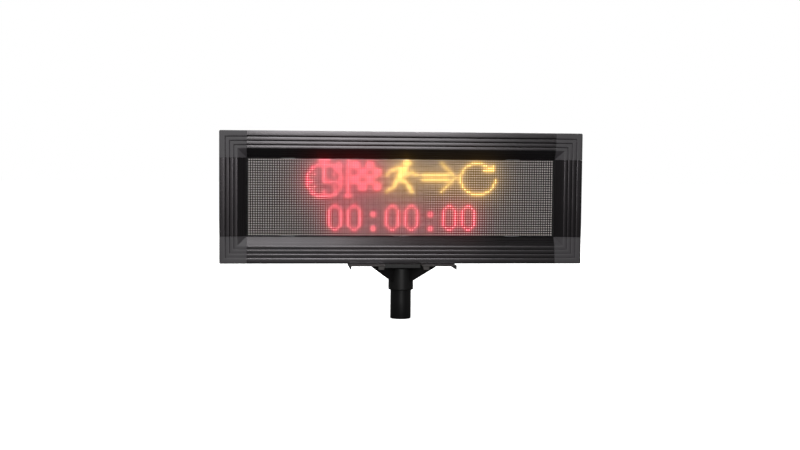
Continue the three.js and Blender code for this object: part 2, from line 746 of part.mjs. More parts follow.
function buildMast() {
  const group = new THREE.Group();
  const tube = cut(
    barZ(0, 0, [0, MAST_TOP], MAST_RADIUS, 48),
    barZ(0, 0, [-5, MAST_TOP + 5], MAST_RADIUS - MAST_WALL, 48),
  );
  group.add(part("mast_tube", tube, MAST_PAINT));
  const stem = MAST_RADIUS - MAST_WALL - GAP;
  group.add(part("mast_foot_plug", barZ(0, 0, [0, 12], stem, 40), BLACK_PLASTIC));
  const cap = joined(
    barZ(0, 0, [MAST_TOP + GAP, HUB_BOTTOM - GAP], MAST_RADIUS - 0.4, 40),
    barZ(0, 0, [MAST_TOP - 12, MAST_TOP + 1], stem, 40),
  );
  group.add(part("mast_top_cap", cap, BLACK_PLASTIC));
  return group;
}

// ---- Whole sign -----------------------------------------------------------------------------------
const sign = new THREE.Group();
sign.add(
  buildMast(),
  buildMount(),
  buildCase(),
  buildWindow(),
  buildModules(),
  buildElectronics(),
  buildRear(),
);

export default sign;
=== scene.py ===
import math

import bmesh
import bpy
import numpy as np
from mathutils import Matrix, Vector


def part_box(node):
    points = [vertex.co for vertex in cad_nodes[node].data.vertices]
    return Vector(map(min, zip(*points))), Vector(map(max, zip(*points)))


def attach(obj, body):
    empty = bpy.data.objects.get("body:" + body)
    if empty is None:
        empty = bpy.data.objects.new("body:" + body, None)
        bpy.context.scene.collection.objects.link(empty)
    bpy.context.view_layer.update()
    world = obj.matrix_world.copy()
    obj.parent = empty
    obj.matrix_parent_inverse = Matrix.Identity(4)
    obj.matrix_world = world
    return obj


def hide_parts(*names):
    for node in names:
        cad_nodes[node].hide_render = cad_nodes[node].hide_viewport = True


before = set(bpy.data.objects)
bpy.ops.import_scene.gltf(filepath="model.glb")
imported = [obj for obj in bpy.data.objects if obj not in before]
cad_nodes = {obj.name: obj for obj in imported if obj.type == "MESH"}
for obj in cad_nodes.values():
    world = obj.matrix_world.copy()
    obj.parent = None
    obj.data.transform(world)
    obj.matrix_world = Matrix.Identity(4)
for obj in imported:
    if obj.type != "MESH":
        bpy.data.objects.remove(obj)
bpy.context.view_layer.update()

MM = 0.001

# ---- Camera, floor and light -------------------------------------------------------------
# A long lens a little to the left of the sign and above its middle, on a white backdrop and a
# pale floor sheet. Reflections see a room with grey walls, a dark floor and a dark ceiling, and
# three soft lamps: one over the camera, one overhead and one behind.
CAMERA_PLACE = (-0.216, -2.110, 0.2873)
CAMERA_HEADING = -5.7886
CAMERA_DIP = 3.514
CAMERA_ROLL = 0.507
camera_data = bpy.data.cameras.new("camera")
camera_data.lens = 56.87
camera_data.sensor_width = 36
camera = bpy.data.objects.new("camera", camera_data)
camera.matrix_world = (
    Matrix.Translation(CAMERA_PLACE)
    @ Matrix.Rotation(math.radians(CAMERA_HEADING), 4, "Z")
    @ Matrix.Rotation(math.radians(90 - CAMERA_DIP), 4, "X")
    @ Matrix.Rotation(math.radians(CAMERA_ROLL), 4, "Z")
)
bpy.context.scene.collection.objects.link(camera)
bpy.context.scene.camera = camera
bpy.context.scene.view_settings.view_transform = "Standard"


def place_nodes(columns):
    """Sets out a tree's nodes in columns, from left to right."""
    for column, members in enumerate(columns):
        for row, node in enumerate(members):
            node.location = (column * 220, -row * 190)


def studio_world():
    """A grey room for light and reflections, and a white backdrop for the camera."""
    world = bpy.data.worlds.new("studio")
    world.use_nodes = True
    nodes = world.node_tree.nodes
    links = world.node_tree.links
    nodes.clear()
    direction = nodes.new("ShaderNodeTexCoord")
    direction.label = "direction in the room"
    split = nodes.new("ShaderNodeSeparateXYZ")
    split.label = "height above the horizon"
    rise = nodes.new("ShaderNodeMapRange")
    rise.label = "straight down to straight up"
    rise.inputs["From Min"].default_value = -1
    rise.inputs["From Max"].default_value = 1
    walls = nodes.new("ShaderNodeValToRGB")
    walls.label = "dark floor, grey walls, dark ceiling"
    walls.color_ramp.interpolation = "EASE"
    below, level = walls.color_ramp.elements
    below.position = 0.30
    below.color = (0.045, 0.045, 0.045, 1)
    level.position = 0.55
    level.color = (0.20, 0.20, 0.20, 1)
    overhead = walls.color_ramp.elements.new(0.9)
    overhead.color = (0.05, 0.05, 0.05, 1)
    room = nodes.new("ShaderNodeBackground")
    room.label = "room that lights the sign"
    backdrop = nodes.new("ShaderNodeBackground")
    backdrop.label = "pale backdrop"
    backdrop.inputs["Color"].default_value = (1, 1, 1, 1)
    path = nodes.new("ShaderNodeLightPath")
    path.label = "seen directly or as light"
    mix = nodes.new("ShaderNodeMixShader")
    mix.label = "backdrop in front of the room"
    output = nodes.new("ShaderNodeOutputWorld")
    output.label = "room and backdrop"
    place_nodes([[direction], [split], [rise], [walls, path], [room, backdrop], [mix], [output]])
    links.new(direction.outputs["Generated"], split.inputs["Vector"])
    links.new(split.outputs["Z"], rise.inputs["Value"])
    links.new(rise.outputs["Result"], walls.inputs["Fac"])
    links.new(walls.outputs["Color"], room.inputs["Color"])
    links.new(path.outputs["Is Camera Ray"], mix.inputs["Fac"])
    links.new(room.outputs["Background"], mix.inputs[1])
    links.new(backdrop.outputs["Background"], mix.inputs[2])
    links.new(mix.outputs["Shader"], output.inputs["Surface"])
    return world


bpy.context.scene.world = studio_world()

FLOOR_HALF = 8
FLOOR_TOP = -0.0005
SQUARE = ((1, 1), (-1, 1), (-1, -1), (1, -1))
floor_corners = [(x * FLOOR_HALF, y * FLOOR_HALF, FLOOR_TOP) for x, y in SQUARE]
floor_mesh = bpy.data.meshes.new("floor")
floor_mesh.from_pydata(floor_corners, [], [(0, 1, 2, 3)])
floor = bpy.data.objects.new("floor", floor_mesh)
bpy.context.scene.collection.objects.link(floor)
floor.visible_glossy = False
floor.visible_diffuse = False
floor_material = bpy.data.materials.new("floor_sheet")
floor_material.use_nodes = True
floor_shader = floor_material.node_tree.nodes["Principled BSDF"]
floor_shader.label = "pale sheet, lit evenly"
floor_shader.inputs["Base Color"].default_value = (0.9, 0.9, 0.9, 1)
floor_shader.inputs["Roughness"].default_value = 0.9
floor_shader.inputs["Emission Color"].default_value = (1, 1, 1, 1)
floor_shader.inputs["Emission Strength"].default_value = 0.96
floor_mesh.materials.append(floor_material)


def softbox(name, place, target, width, height, power):
    """A soft lamp at place, turned to face target."""
    data = bpy.data.lights.new(name, "AREA")
    data.shape = "RECTANGLE"
    data.size = width
    data.size_y = height
    data.energy = power
    lamp = bpy.data.objects.new(name, data)
    look = (Vector(target) - Vector(place)).to_track_quat("-Z", "Y")
    lamp.matrix_world = Matrix.Translation(place) @ look.to_matrix().to_4x4()
    lamp.visible_camera = False
    bpy.context.scene.collection.objects.link(lamp)


softbox("softbox_over_camera", (0.03, -2.1, 0.62), (0, 0, 0.3), 0.7, 0.64, 19)
softbox("softbox_overhead_left", (-0.48, -0.95, 1.3), (-0.2, 0, 0.2), 1.1, 0.7, 11)
softbox("softbox_rear", (0.5, 1.9, 1.3), (0, 0, 0.2), 1.2, 0.9, 55)


# ---- Mast ----------------------------------------------------------------------------------
# The top of a stand's drawn steel mast, painted satin black, with a moulded plug at its foot
# and a cap at its head. The sign's socket drops over it and turns on it.
def empty_material(name):
    """A material without nodes, with its lists of nodes and links."""
    material = bpy.data.materials.new(name)
    material.use_nodes = True
    tree = material.node_tree
    tree.nodes.clear()
    return material, tree.nodes, tree.links


def toned(colour, times):
    """A colour for a ramp: the given one made that many times as light."""
    return (*[min(channel * times, 1) for channel in colour], 1)


def painted_metal(name, colour, rough, grain, depth, rub):
    """Paint or powder coat over metal: colour that drifts a little, a fine orange-peel skin
    of the given grain size and depth, and duller streaks where hands and fittings rub."""
    material, nodes, links = empty_material(name)
    place = nodes.new("ShaderNodeTexCoord")
    place.label = "place on the piece"
    drift = nodes.new("ShaderNodeTexNoise")
    drift.label = "slow drift of the coat"
    drift.inputs["Scale"].default_value = 14
    drift.inputs["Detail"].default_value = 4
    tone = nodes.new("ShaderNodeValToRGB")
    tone.label = "coat colour"
    dark, light = tone.color_ramp.elements
    dark.position = 0.3
    dark.color = toned(colour, 0.82)
    light.position = 0.7
    light.color = toned(colour, 1.2)
    streaks = nodes.new("ShaderNodeMapping")
    streaks.label = "rubbing runs round and along"
    streaks.inputs["Scale"].default_value = (60, 60, 9)
    rubbed = nodes.new("ShaderNodeTexNoise")
    rubbed.label = "rubbed streaks"
    rubbed.inputs["Scale"].default_value = 3
    rubbed.inputs["Detail"].default_value = 6
    gloss = nodes.new("ShaderNodeMapRange")
    gloss.label = "duller where rubbed"
    gloss.inputs["From Min"].default_value = 0.35
    gloss.inputs["From Max"].default_value = 0.7
    gloss.inputs["To Min"].default_value = rough - rub
    gloss.inputs["To Max"].default_value = rough + rub
    skin = nodes.new("ShaderNodeTexNoise")
    skin.label = "orange-peel skin"
    skin.inputs["Scale"].default_value = 1 / grain
    skin.inputs["Detail"].default_value = 2
    relief = nodes.new("ShaderNodeBump")
    relief.label = "skin's relief"
    relief.inputs["Strength"].default_value = 0.35
    relief.inputs["Distance"].default_value = depth
    shader = nodes.new("ShaderNodeBsdfPrincipled")
    shader.label = "satin coat"
    shader.inputs["IOR"].default_value = 1.4
    output = nodes.new("ShaderNodeOutputMaterial")
    output.label = "finished coat"
    place_nodes([[place], [drift, streaks, skin], [tone, rubbed, relief], [gloss], [shader], [output]])
    groups = {"colour": [drift, tone], "wear": [streaks, rubbed, gloss], "skin": [skin, relief]}
    for label, members in groups.items():
        box = nodes.new("NodeFrame")
        box.label = label
        for member in members:
            member.parent = box
    links.new(place.outputs["Object"], drift.inputs["Vector"])
    links.new(drift.outputs["Fac"], tone.inputs["Fac"])
    links.new(tone.outputs["Color"], shader.inputs["Base Color"])
    links.new(place.outputs["Object"], streaks.inputs["Vector"])
    links.new(streaks.outputs["Vector"], rubbed.inputs["Vector"])
    links.new(rubbed.outputs["Fac"], gloss.inputs["Value"])
    links.new(gloss.outputs["Result"], shader.inputs["Roughness"])
    links.new(place.outputs["Object"], skin.inputs["Vector"])
    links.new(skin.outputs["Fac"], relief.inputs["Height"])
    links.new(relief.outputs["Normal"], shader.inputs["Normal"])
    links.new(shader.outputs["BSDF"], output.inputs["Surface"])
    return material


def moulded_plastic(name, colour, rough, grain, depth):
    """Moulded plastic with an etched grain of the given size and depth, faint flow marks
    in the colour, and a shine that changes a little from place to place."""
    material, nodes, links = empty_material(name)
    place = nodes.new("ShaderNodeTexCoord")
    place.label = "place on the piece"
    flow = nodes.new("ShaderNodeTexNoise")
    flow.label = "flow marks"
    flow.inputs["Scale"].default_value = 22
    flow.inputs["Distortion"].default_value = 1.2
    tone = nodes.new("ShaderNodeValToRGB")
    tone.label = "plastic colour"
    dark, light = tone.color_ramp.elements
    dark.position = 0.35
    dark.color = toned(colour, 0.9)
    light.position = 0.65
    light.color = toned(colour, 1.1)
    etch = nodes.new("ShaderNodeTexVoronoi")
    etch.label = "etched grain"
    etch.inputs["Scale"].default_value = 1 / grain
    relief = nodes.new("ShaderNodeBump")
    relief.label = "grain's relief"
    relief.inputs["Strength"].default_value = 0.4
    relief.inputs["Distance"].default_value = depth
    gloss = nodes.new("ShaderNodeMapRange")
    gloss.label = "shine"
    gloss.inputs["To Min"].default_value = rough - 0.06
    gloss.inputs["To Max"].default_value = rough + 0.08
    shader = nodes.new("ShaderNodeBsdfPrincipled")
    shader.label = "moulded plastic"
    shader.inputs["IOR"].default_value = 1.5
    output = nodes.new("ShaderNodeOutputMaterial")
    output.label = "finished moulding"
    place_nodes([[place], [flow, etch], [tone, relief, gloss], [shader], [output]])
    groups = {"colour": [flow, tone], "grain": [etch, relief], "shine": [gloss]}
    for label, members in groups.items():
        box = nodes.new("NodeFrame")
        box.label = label
        for member in members:
            member.parent = box
    links.new(place.outputs["Object"], flow.inputs["Vector"])
    links.new(flow.outputs["Fac"], tone.inputs["Fac"])
    links.new(tone.outputs["Color"], shader.inputs["Base Color"])
    links.new(flow.outputs["Fac"], gloss.inputs["Value"])
    links.new(gloss.outputs["Result"], shader.inputs["Roughness"])
    links.new(place.outputs["Object"], etch.inputs["Vector"])
    links.new(etch.outputs["Distance"], relief.inputs["Height"])
    links.new(relief.outputs["Normal"], shader.inputs["Normal"])
    links.new(shader.outputs["BSDF"], output.inputs["Surface"])
    return material


mast_paint = painted_metal("mast_paint", (0.0045, 0.0042, 0.0045), 0.35, 0.0011, 0.00003, 0.05)
black_plastic = moulded_plastic("black_plastic", (0.016, 0.016, 0.016), 0.46, 0.0005, 0.00003)


def piece(name, mesh, material, body, replaced=()):
    """Puts a finished mesh in the scene on its body, with its material, and hides the CAD nodes it
    replaces.
    """
    obj = bpy.data.objects.new(name, mesh)
    bpy.context.scene.collection.objects.link(obj)
    mesh.materials.append(material)
    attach(obj, body)
    if replaced:
        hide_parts(*replaced)
    return obj


def keep(names, material):
    """CAD nodes whose shape is already right, in a better material."""
    for name in names:
        slots = cad_nodes[name].data.materials
        slots.clear()
        slots.append(material)


def shade(mesh, angle):
    """Smooth shading that stays crisp at edges sharper than angle, in degrees."""
    bm = bmesh.new()
    bm.from_mesh(mesh)
    for face in bm.faces:
        face.smooth = True
    for edge in bm.edges:
        edge.smooth = len(edge.link_faces) != 2 or edge.calc_face_angle(0) < math.radians(angle)
    bm.to_mesh(mesh)
    bm.free()


def joined(mesh, gap):
    """Joins points that lie closer than gap, in metres, and turns the faces outwards."""
    bm = bmesh.new()
    bm.from_mesh(mesh)
    bmesh.ops.remove_doubles(bm, verts=bm.verts, dist=gap)
    bmesh.ops.recalc_face_normals(bm, faces=bm.faces)
    bm.to_mesh(mesh)
    bm.free()


def settled(obj, place):
    """Applies the stack of a piece made at its own origin, then puts its mesh in place."""
    bpy.context.view_layer.update()
    graph = bpy.context.evaluated_depsgraph_get()
    mesh = bpy.data.meshes.new_from_object(obj.evaluated_get(graph))
    mesh.name = obj.name
    bpy.data.objects.remove(obj)
    mesh.transform(place)
    joined(mesh, 0.00001)
    shade(mesh, 32)
    return mesh


def turned(name, profile, place, steps=96):
    """A turned shape: a closed or axis-to-axis profile of radius and height, in millimetres,
    spun about Z by a Screw and then moved to its place."""
    mesh = bpy.data.meshes.new(name)
    points = [(radius * MM, 0, height * MM) for radius, height in profile]
    mesh.from_pydata(points, [(i, i + 1) for i in range(len(points) - 1)], [])
    obj = bpy.data.objects.new(name, mesh)
    bpy.context.scene.collection.objects.link(obj)
    spin = obj.modifiers.new("spin", "SCREW")
    spin.angle = 2 * math.pi
    spin.steps = steps
    spin.render_steps = steps
    spin.use_merge_vertices = True
    spin.merge_threshold = 0.00001
    return settled(obj, place)


def box_mm(node):
    """The lowest and the highest corner of a CAD node, in millimetres."""
    return [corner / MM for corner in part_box(node)]


mast_high = box_mm("mast_tube")[1]
mast_radius = mast_high.x
mast_top = mast_high.z
MAST_WALL = 2.0
mast_profile = [
    (mast_radius - MAST_WALL, 0.4),
    (mast_radius - MAST_WALL + 0.4, 0),
    (mast_radius - 0.6, 0),
    (mast_radius - 0.15, 0.2),
    (mast_radius, 0.7),
    (mast_radius, 30),
    (mast_radius, 60),
    (mast_radius, mast_top - 0.7),
    (mast_radius - 0.5, mast_top),
    (mast_radius - MAST_WALL + 0.4, mast_top),
    (mast_radius - MAST_WALL, mast_top - 0.4),
    (mast_radius - MAST_WALL, 0.4),
]
mast_mesh = turned("mast", mast_profile, Matrix.Identity(4))
piece("mast", mast_mesh, mast_paint, "mast", ["mast_tube"])
keep(["mast_foot_plug", "mast_top_cap"], black_plastic)


# ---- Mast socket -----------------------------------------------------------------------------
# One casting in black powder coat: a collar that drops over the mast, a square hub under the
# case, four thin diagonal ribs between them, and a boss at the back for the clamp screw.
casting_coat = painted_metal("casting_coat", (0.006, 0.0055, 0.0055), 0.42, 0.0014, 0.00003, 0.05)
socket_low, socket_high = box_mm("pole_socket")
knob_low, knob_high = box_mm("clamp_knob")
COLLAR_RADIUS = 21.1
COLLAR_BORE = 17.9
HUB_HALF = 31.0
HUB_THICK = 4.5
NOSE_RISE = 2.0
NOSE_HALF = 30.3
NOSE_BACK = -25.2
RIB_HALF = 2.0
RIB_FOOT = 61.9
RIB_REACH = 70.2
RIB_ANGLE = 42.5
collar_low = socket_low.z
hub_high = socket_high.z - NOSE_RISE
hub_low = hub_high - HUB_THICK
collar_profile = [
    (COLLAR_BORE, collar_low + 0.8),
    (COLLAR_BORE + 0.5, collar_low),
    (COLLAR_RADIUS - 1.0, collar_low),
    (COLLAR_RADIUS - 0.35, collar_low + 0.3),
    (COLLAR_RADIUS, collar_low + 1.1),
    (COLLAR_RADIUS, collar_low + 1.7),
    (COLLAR_RADIUS, hub_low - 2.3),
    (COLLAR_RADIUS, hub_low - 1.6),
    (COLLAR_RADIUS + 0.5, hub_low - 0.5),
    (COLLAR_RADIUS + 1.6, hub_low + 0.2),
    (COLLAR_BORE, hub_low + 0.2),
    (COLLAR_BORE, collar_low + 0.8),
]


def drilled(mesh, drill):
    """Cuts the drill's mesh out of another one, and returns what is left."""
    work = bpy.data.objects.new(mesh.name, mesh)
    tool = bpy.data.objects.new("drill", drill)
    for obj in (work, tool):
        bpy.context.scene.collection.objects.link(obj)
    cut = work.modifiers.new("drilled", "BOOLEAN")
    cut.operation = "DIFFERENCE"
    cut.solver = "EXACT"
    cut.object = tool
    made = settled(work, Matrix.Identity(4))
    bpy.data.objects.remove(tool)
    return made


INSERT_HOLE = 6.3
knob_height = (knob_low.z + knob_high.z) / 2
facing_back = Matrix.Translation((0, 0, knob_height * MM)) @ Matrix.Rotation(math.radians(-90), 4, "X")
drill_profile = [(0, 30), (INSERT_HOLE, 30), (INSERT_HOLE, 10), (0, 10)]
drill_mesh = turned("drill", drill_profile, facing_back, 48)
collar_mesh = drilled(turned("socket_collar", collar_profile, Matrix.Identity(4)), drill_mesh)
piece("socket_collar", collar_mesh, casting_coat, "head", ["pole_socket"])


def bevelled(obj, width, segments=3):
    """Rounds a cage's edges by a live Bevel, in millimetres."""
    bevel = obj.modifiers.new("rounded edges", "BEVEL")
    bevel.width = width * MM
    bevel.segments = segments
    bevel.limit_method = "ANGLE"
    bevel.angle_limit = math.radians(32)
    bevel.harden_normals = True
    for polygon in obj.data.polygons:
        polygon.use_smooth = True
    return obj


def cage(name, corners, faces):
    """A closed cage from corners in millimetres, with its faces turned outwards."""
    mesh = bpy.data.meshes.new(name)
    mesh.from_pydata([(x * MM, y * MM, z * MM) for x, y, z in corners], [], faces)
    bm = bmesh.new()
    bm.from_mesh(mesh)
    bmesh.ops.recalc_face_normals(bm, faces=bm.faces)
    bm.to_mesh(mesh)
    bm.free()
    return mesh


def prism(name, outline, place, low, high):
    """A cage of an outline between two levels; place turns (a, b, level) into x, y, z."""
    count = len(outline)
    corners = [place(a, b, low) for a, b in outline] + [place(a, b, high) for a, b in outline]
    sides = [(i, (i + 1) % count, (i + 1) % count + count, i + count) for i in range(count)]
    ends = [tuple(range(count)), tuple(range(2 * count - 1, count - 1, -1))]
    return cage(name, corners, sides + ends)


def upright(a, b, level):
    """An outline in x and y, raised along z."""
    return a, b, level


def side_on(a, b, level):
    """An outline in x and z, given depth along y."""
    return a, level, b


def across(a, b, level):
    """An outline in y and z, given its place along x."""
    return level, a, b


hub_outline = [
    (-HUB_HALF, hub_low),
    (-HUB_HALF, hub_high + NOSE_RISE),
    (NOSE_BACK, hub_high + NOSE_RISE),
    (NOSE_BACK + 0.4, hub_high),
    (HUB_HALF, hub_high),
    (HUB_HALF, hub_low),
]
hub_mesh = prism("socket_hub", hub_outline, across, -NOSE_HALF, NOSE_HALF)
hub = piece("socket_hub", hub_mesh, casting_coat, "head")
bevelled(hub, 0.9, 4)

rib_outline = [
    (COLLAR_RADIUS - 1.6, RIB_FOOT),
    (COLLAR_RADIUS + 1.4, RIB_FOOT + 1.5),
    (RIB_REACH, hub_high - 1.0),
    (RIB_REACH, hub_high),
    (COLLAR_RADIUS - 1, hub_high - 0.1),
]
for number, angle in enumerate((RIB_ANGLE, 180 - RIB_ANGLE, 180 + RIB_ANGLE, 360 - RIB_ANGLE), 1):
    ray = Vector((math.cos(math.radians(angle)), math.sin(math.radians(angle))))

    def along_ray(a, b, level):
        return a * ray.x - level * ray.y, a * ray.y + level * ray.x, b

    rib_mesh = prism(f"socket_rib_{number}", rib_outline, along_ray, -RIB_HALF, RIB_HALF)
    rib = piece(f"socket_rib_{number}", rib_mesh, casting_coat, "head")
    bevelled(rib, 0.45, 3)

BOSS_RADIUS = 9.5
boss_back = box_mm("clamp_insert")[1].y
boss_profile = [
    (INSERT_HOLE, 20.0),
    (BOSS_RADIUS + 2, 19.2),
    (BOSS_RADIUS + 0.7, 21.2),
    (BOSS_RADIUS + 0.1, 23),
    (BOSS_RADIUS, boss_back - 0.8),
    (BOSS_RADIUS - 0.7, boss_back),
    (INSERT_HOLE + 0.5, boss_back),
    (INSERT_HOLE, boss_back - 0.6),
    (INSERT_HOLE, 20.0),
]
boss_mesh = turned("socket_boss", boss_profile[::-1], facing_back, 64)
piece("socket_boss", boss_mesh, casting_coat, "head")


# ---- Support tray ------------------------------------------------------------------------------
# Folded steel sheet between the casting and the case, painted black. Its two ends and four tabs
# are turned down; four screws clamp it between the hub and the bottom rail.
tray_paint = painted_metal("tray_paint", (0.045, 0.040, 0.038), 0.40, 0.0012, 0.00004, 0.08)
tray_low, tray_high = box_mm("support_tray")
SHEET = 1.6
TRAY_PLATE = 2.0
OVERLAP = 0.6
TAB_ROOT = 31
TAB_FOOT = 33
TAB_OUTER = 42
NOTCH = NOSE_HALF + 0.3
FLANGE_BACK = 35.0


def box_outline(a0, a1, b0, b1):
    """A rectangle between two values of each of its axes."""
    return [(a0, b0), (a1, b0), (a1, b1), (a0, b1)]


plate_outline = [
    (-tray_high.x, -tray_high.y),
    (-NOTCH, -tray_high.y),
    (-NOTCH, NOSE_BACK + 0.3),
    (NOTCH, NOSE_BACK + 0.3),
    (NOTCH, -tray_high.y),
    (tray_high.x, -tray_high.y),
    (tray_high.x, tray_high.y),
    (-tray_high.x, tray_high.y),
]
plate_mesh = prism("tray_plate", plate_outline, upright, tray_high.z - TRAY_PLATE, tray_high.z)
plate = piece("tray_plate", plate_mesh, tray_paint, "head", ["support_tray"])
bevelled(plate, 0.5, 3)
for side, label in ((-1, "left"), (1, "right")):
    ends = sorted((side * tray_high.x, side * (tray_high.x - SHEET)))
    flange_outline = box_outline(*ends, -tray_high.y, FLANGE_BACK)
    name = f"tray_flange_{label}"
    flange_mesh = prism(name, flange_outline, upright, tray_low.z, tray_high.z - OVERLAP)
    bevelled(piece(name, flange_mesh, tray_paint, "head"), 0.5, 3)
    for face, edge in ((-1, "front"), (1, "rear")):
        tab_outline = [
            (side * TAB_ROOT, tray_high.z - OVERLAP),
            (side * TAB_OUTER, tray_high.z - OVERLAP),
            (side * TAB_OUTER, tray_low.z),
            (side * TAB_FOOT, tray_low.z),
        ]
        depth = sorted((face * tray_high.y, face * (tray_high.y - SHEET)))
        name = f"tray_tab_{edge}_{label}"
        tab_mesh = prism(name, tab_outline, side_on, *depth)
        bevelled(piece(name, tab_mesh, tray_paint, "head"), 0.25, 2)


# ---- Lamp modules: what is lit -----------------------------------------------------------------------
# Two modules of 64 by 32 surface-mounted lamps at a 4 mm pitch. The upper line shows five plain
# signs, two in red and three in amber, and the lower line a running time in red.
case_low = box_mm("corner_bottom_left")[0]
case_high = box_mm("corner_top_right")[1]
case_half = case_high.x
case_middle = (case_low.z + case_high.z) / 2
PITCH = 4.0
COLUMNS = 128
ROWS = 32
RED_SIGNS = 2
SIGNS_LEFT = 24
SIGN_COLUMNS = 16
TIME_LEFT = 32
DIGIT_COLUMNS = 8
DIGIT_TOP = 19
COLON_TOP = 22
SIGNS = {
    "stopwatch": """
        .....#####......
        .......#.....#..
        ....#######.#.#.
        ..##...#...##.#.
        ..#....#....##..
        .#.....#.....#..
        #..#...#...#..#.
        #......#......#.
        #......#......#.
        ###....####.###.
        #.............#.
        #..#.......#..#.
        .#...........#..
        ..#....#....#...
        ..##...#...##...
        ....#######.....""",
    "flag": """
        .#..............
        .#.###...###....
        .#.###...###....
        .#.###...###....
        .#....###...###.
        .#....###...###.
        .#....###...###.
        .#.###...###....
        .#.###...###....
        .#.###...###....
        .#....###...###.
        .#....###...###.
        .#....###...###.
        .#..............
        .#..............
        ###.............""",
    "runner": """
        .........##.....
        ........####....
        .........##.....
        .....#####......
        ...##..###......
        ..#...####.##...
        .#....###.#..##.
        ......##........
        .....####.......
        .....#..##......
        ....##....#.....
        ....#.....##....
        ..##.......#....
        .#.........##...""",
    "arrow": """
        ................
        ........#.......
        .........#......
        ..........#.....
        ...........#....
        ............#...
        ############.#..
        ..............#.
        ############.#..
        ............#...
        ...........#....
        ..........#.....
        .........#......
        ........#.......""",
    "lap": """
        ................
        .....#####......
        ...##.....##..#.
        ..#.........###.
        .#........#####.
        .#..............
        #...............
        #...............
        #..............#
        #..............#
        .#............#.
        .#............#.
        ..#..........#..
        ...##......##...
        .....######.....""",
}
ZERO = """
        ...##...
        ..#..#..
        .#....#.
        .#....#.
        .#....#.
        .#....#.
        .#....#.
        .#....#.
        .#....#.
        ..#..#..
        ...##..."""
COLON = """
        ...##...
        ...##...
        ........
        ........
        ........
        ........
        ...##...
        ...##..."""


def lit_lamps():
    """Row and column of each lit lamp, by colour."""
    lit = {"red": set(), "amber": set()}
    cells = []
    for number, drawing in enumerate(SIGNS.values()):
        colour = "red" if number < RED_SIGNS else "amber"
        cells.append((0, SIGNS_LEFT + SIGN_COLUMNS * number, drawing, colour))
    for number in range(8):
        left = TIME_LEFT + DIGIT_COLUMNS * number
        if number in (2, 5):
            cells.append((COLON_TOP, left, COLON, "red"))
        else:
            cells.append((DIGIT_TOP, left, ZERO, "red"))
    for top, left, drawing, colour in cells:
        for row, line in enumerate(drawing.split()):
            for column, mark in enumerate(line):
                if mark == "#":
                    lit[colour].add((top + row, left + column))
    return lit


def lamp_centre(row, column):
    """A lamp's place across and up, in millimetres."""
    x = (column - (COLUMNS - 1) / 2) * PITCH
    z = case_middle + ((ROWS - 1) / 2 - row) * PITCH
    return x, z


lit = lit_lamps()
SPILL_NEAR = 4.2
SPILL_FAR = 13.0
SPILL_FAR_SHARE = 0.10


def spill(mesh):
    """Stores on each point how much light falls on it from the lit lamps of each colour: a
    narrow pool round each lamp and a wide weak one."""
    points = np.zeros(len(mesh.vertices) * 3)
    mesh.vertices.foreach_get("co", points)
    points = points.reshape(-1, 3)[:, (0, 2)] / MM
    for colour, places in lit.items():
        total = np.zeros(len(points))
        for row, column in sorted(places):
            x, z = lamp_centre(row, column)
            away = np.hypot(points[:, 0] - x, points[:, 1] - z)
            total += np.exp(-((away / SPILL_NEAR) ** 2))
            total += SPILL_FAR_SHARE * np.exp(-away / SPILL_FAR)
        store = mesh.attributes.new(f"spill_{colour}", "FLOAT", "POINT")
        store.data.foreach_set("value", total.astype(np.float32))


# ---- Case rails ---------------------------------------------------------------------------------
# Four lengths of extruded aluminium, satin black anodised. The face drops inwards in four bands
# with rounded steps, then slopes back to the window as its reveal. The corner pieces join them.
# How strongly the lit lamps' spilt light is painted on the rails, as a faint glow.
RAIL_PAINTED_LAMP_LIGHT = 0.022


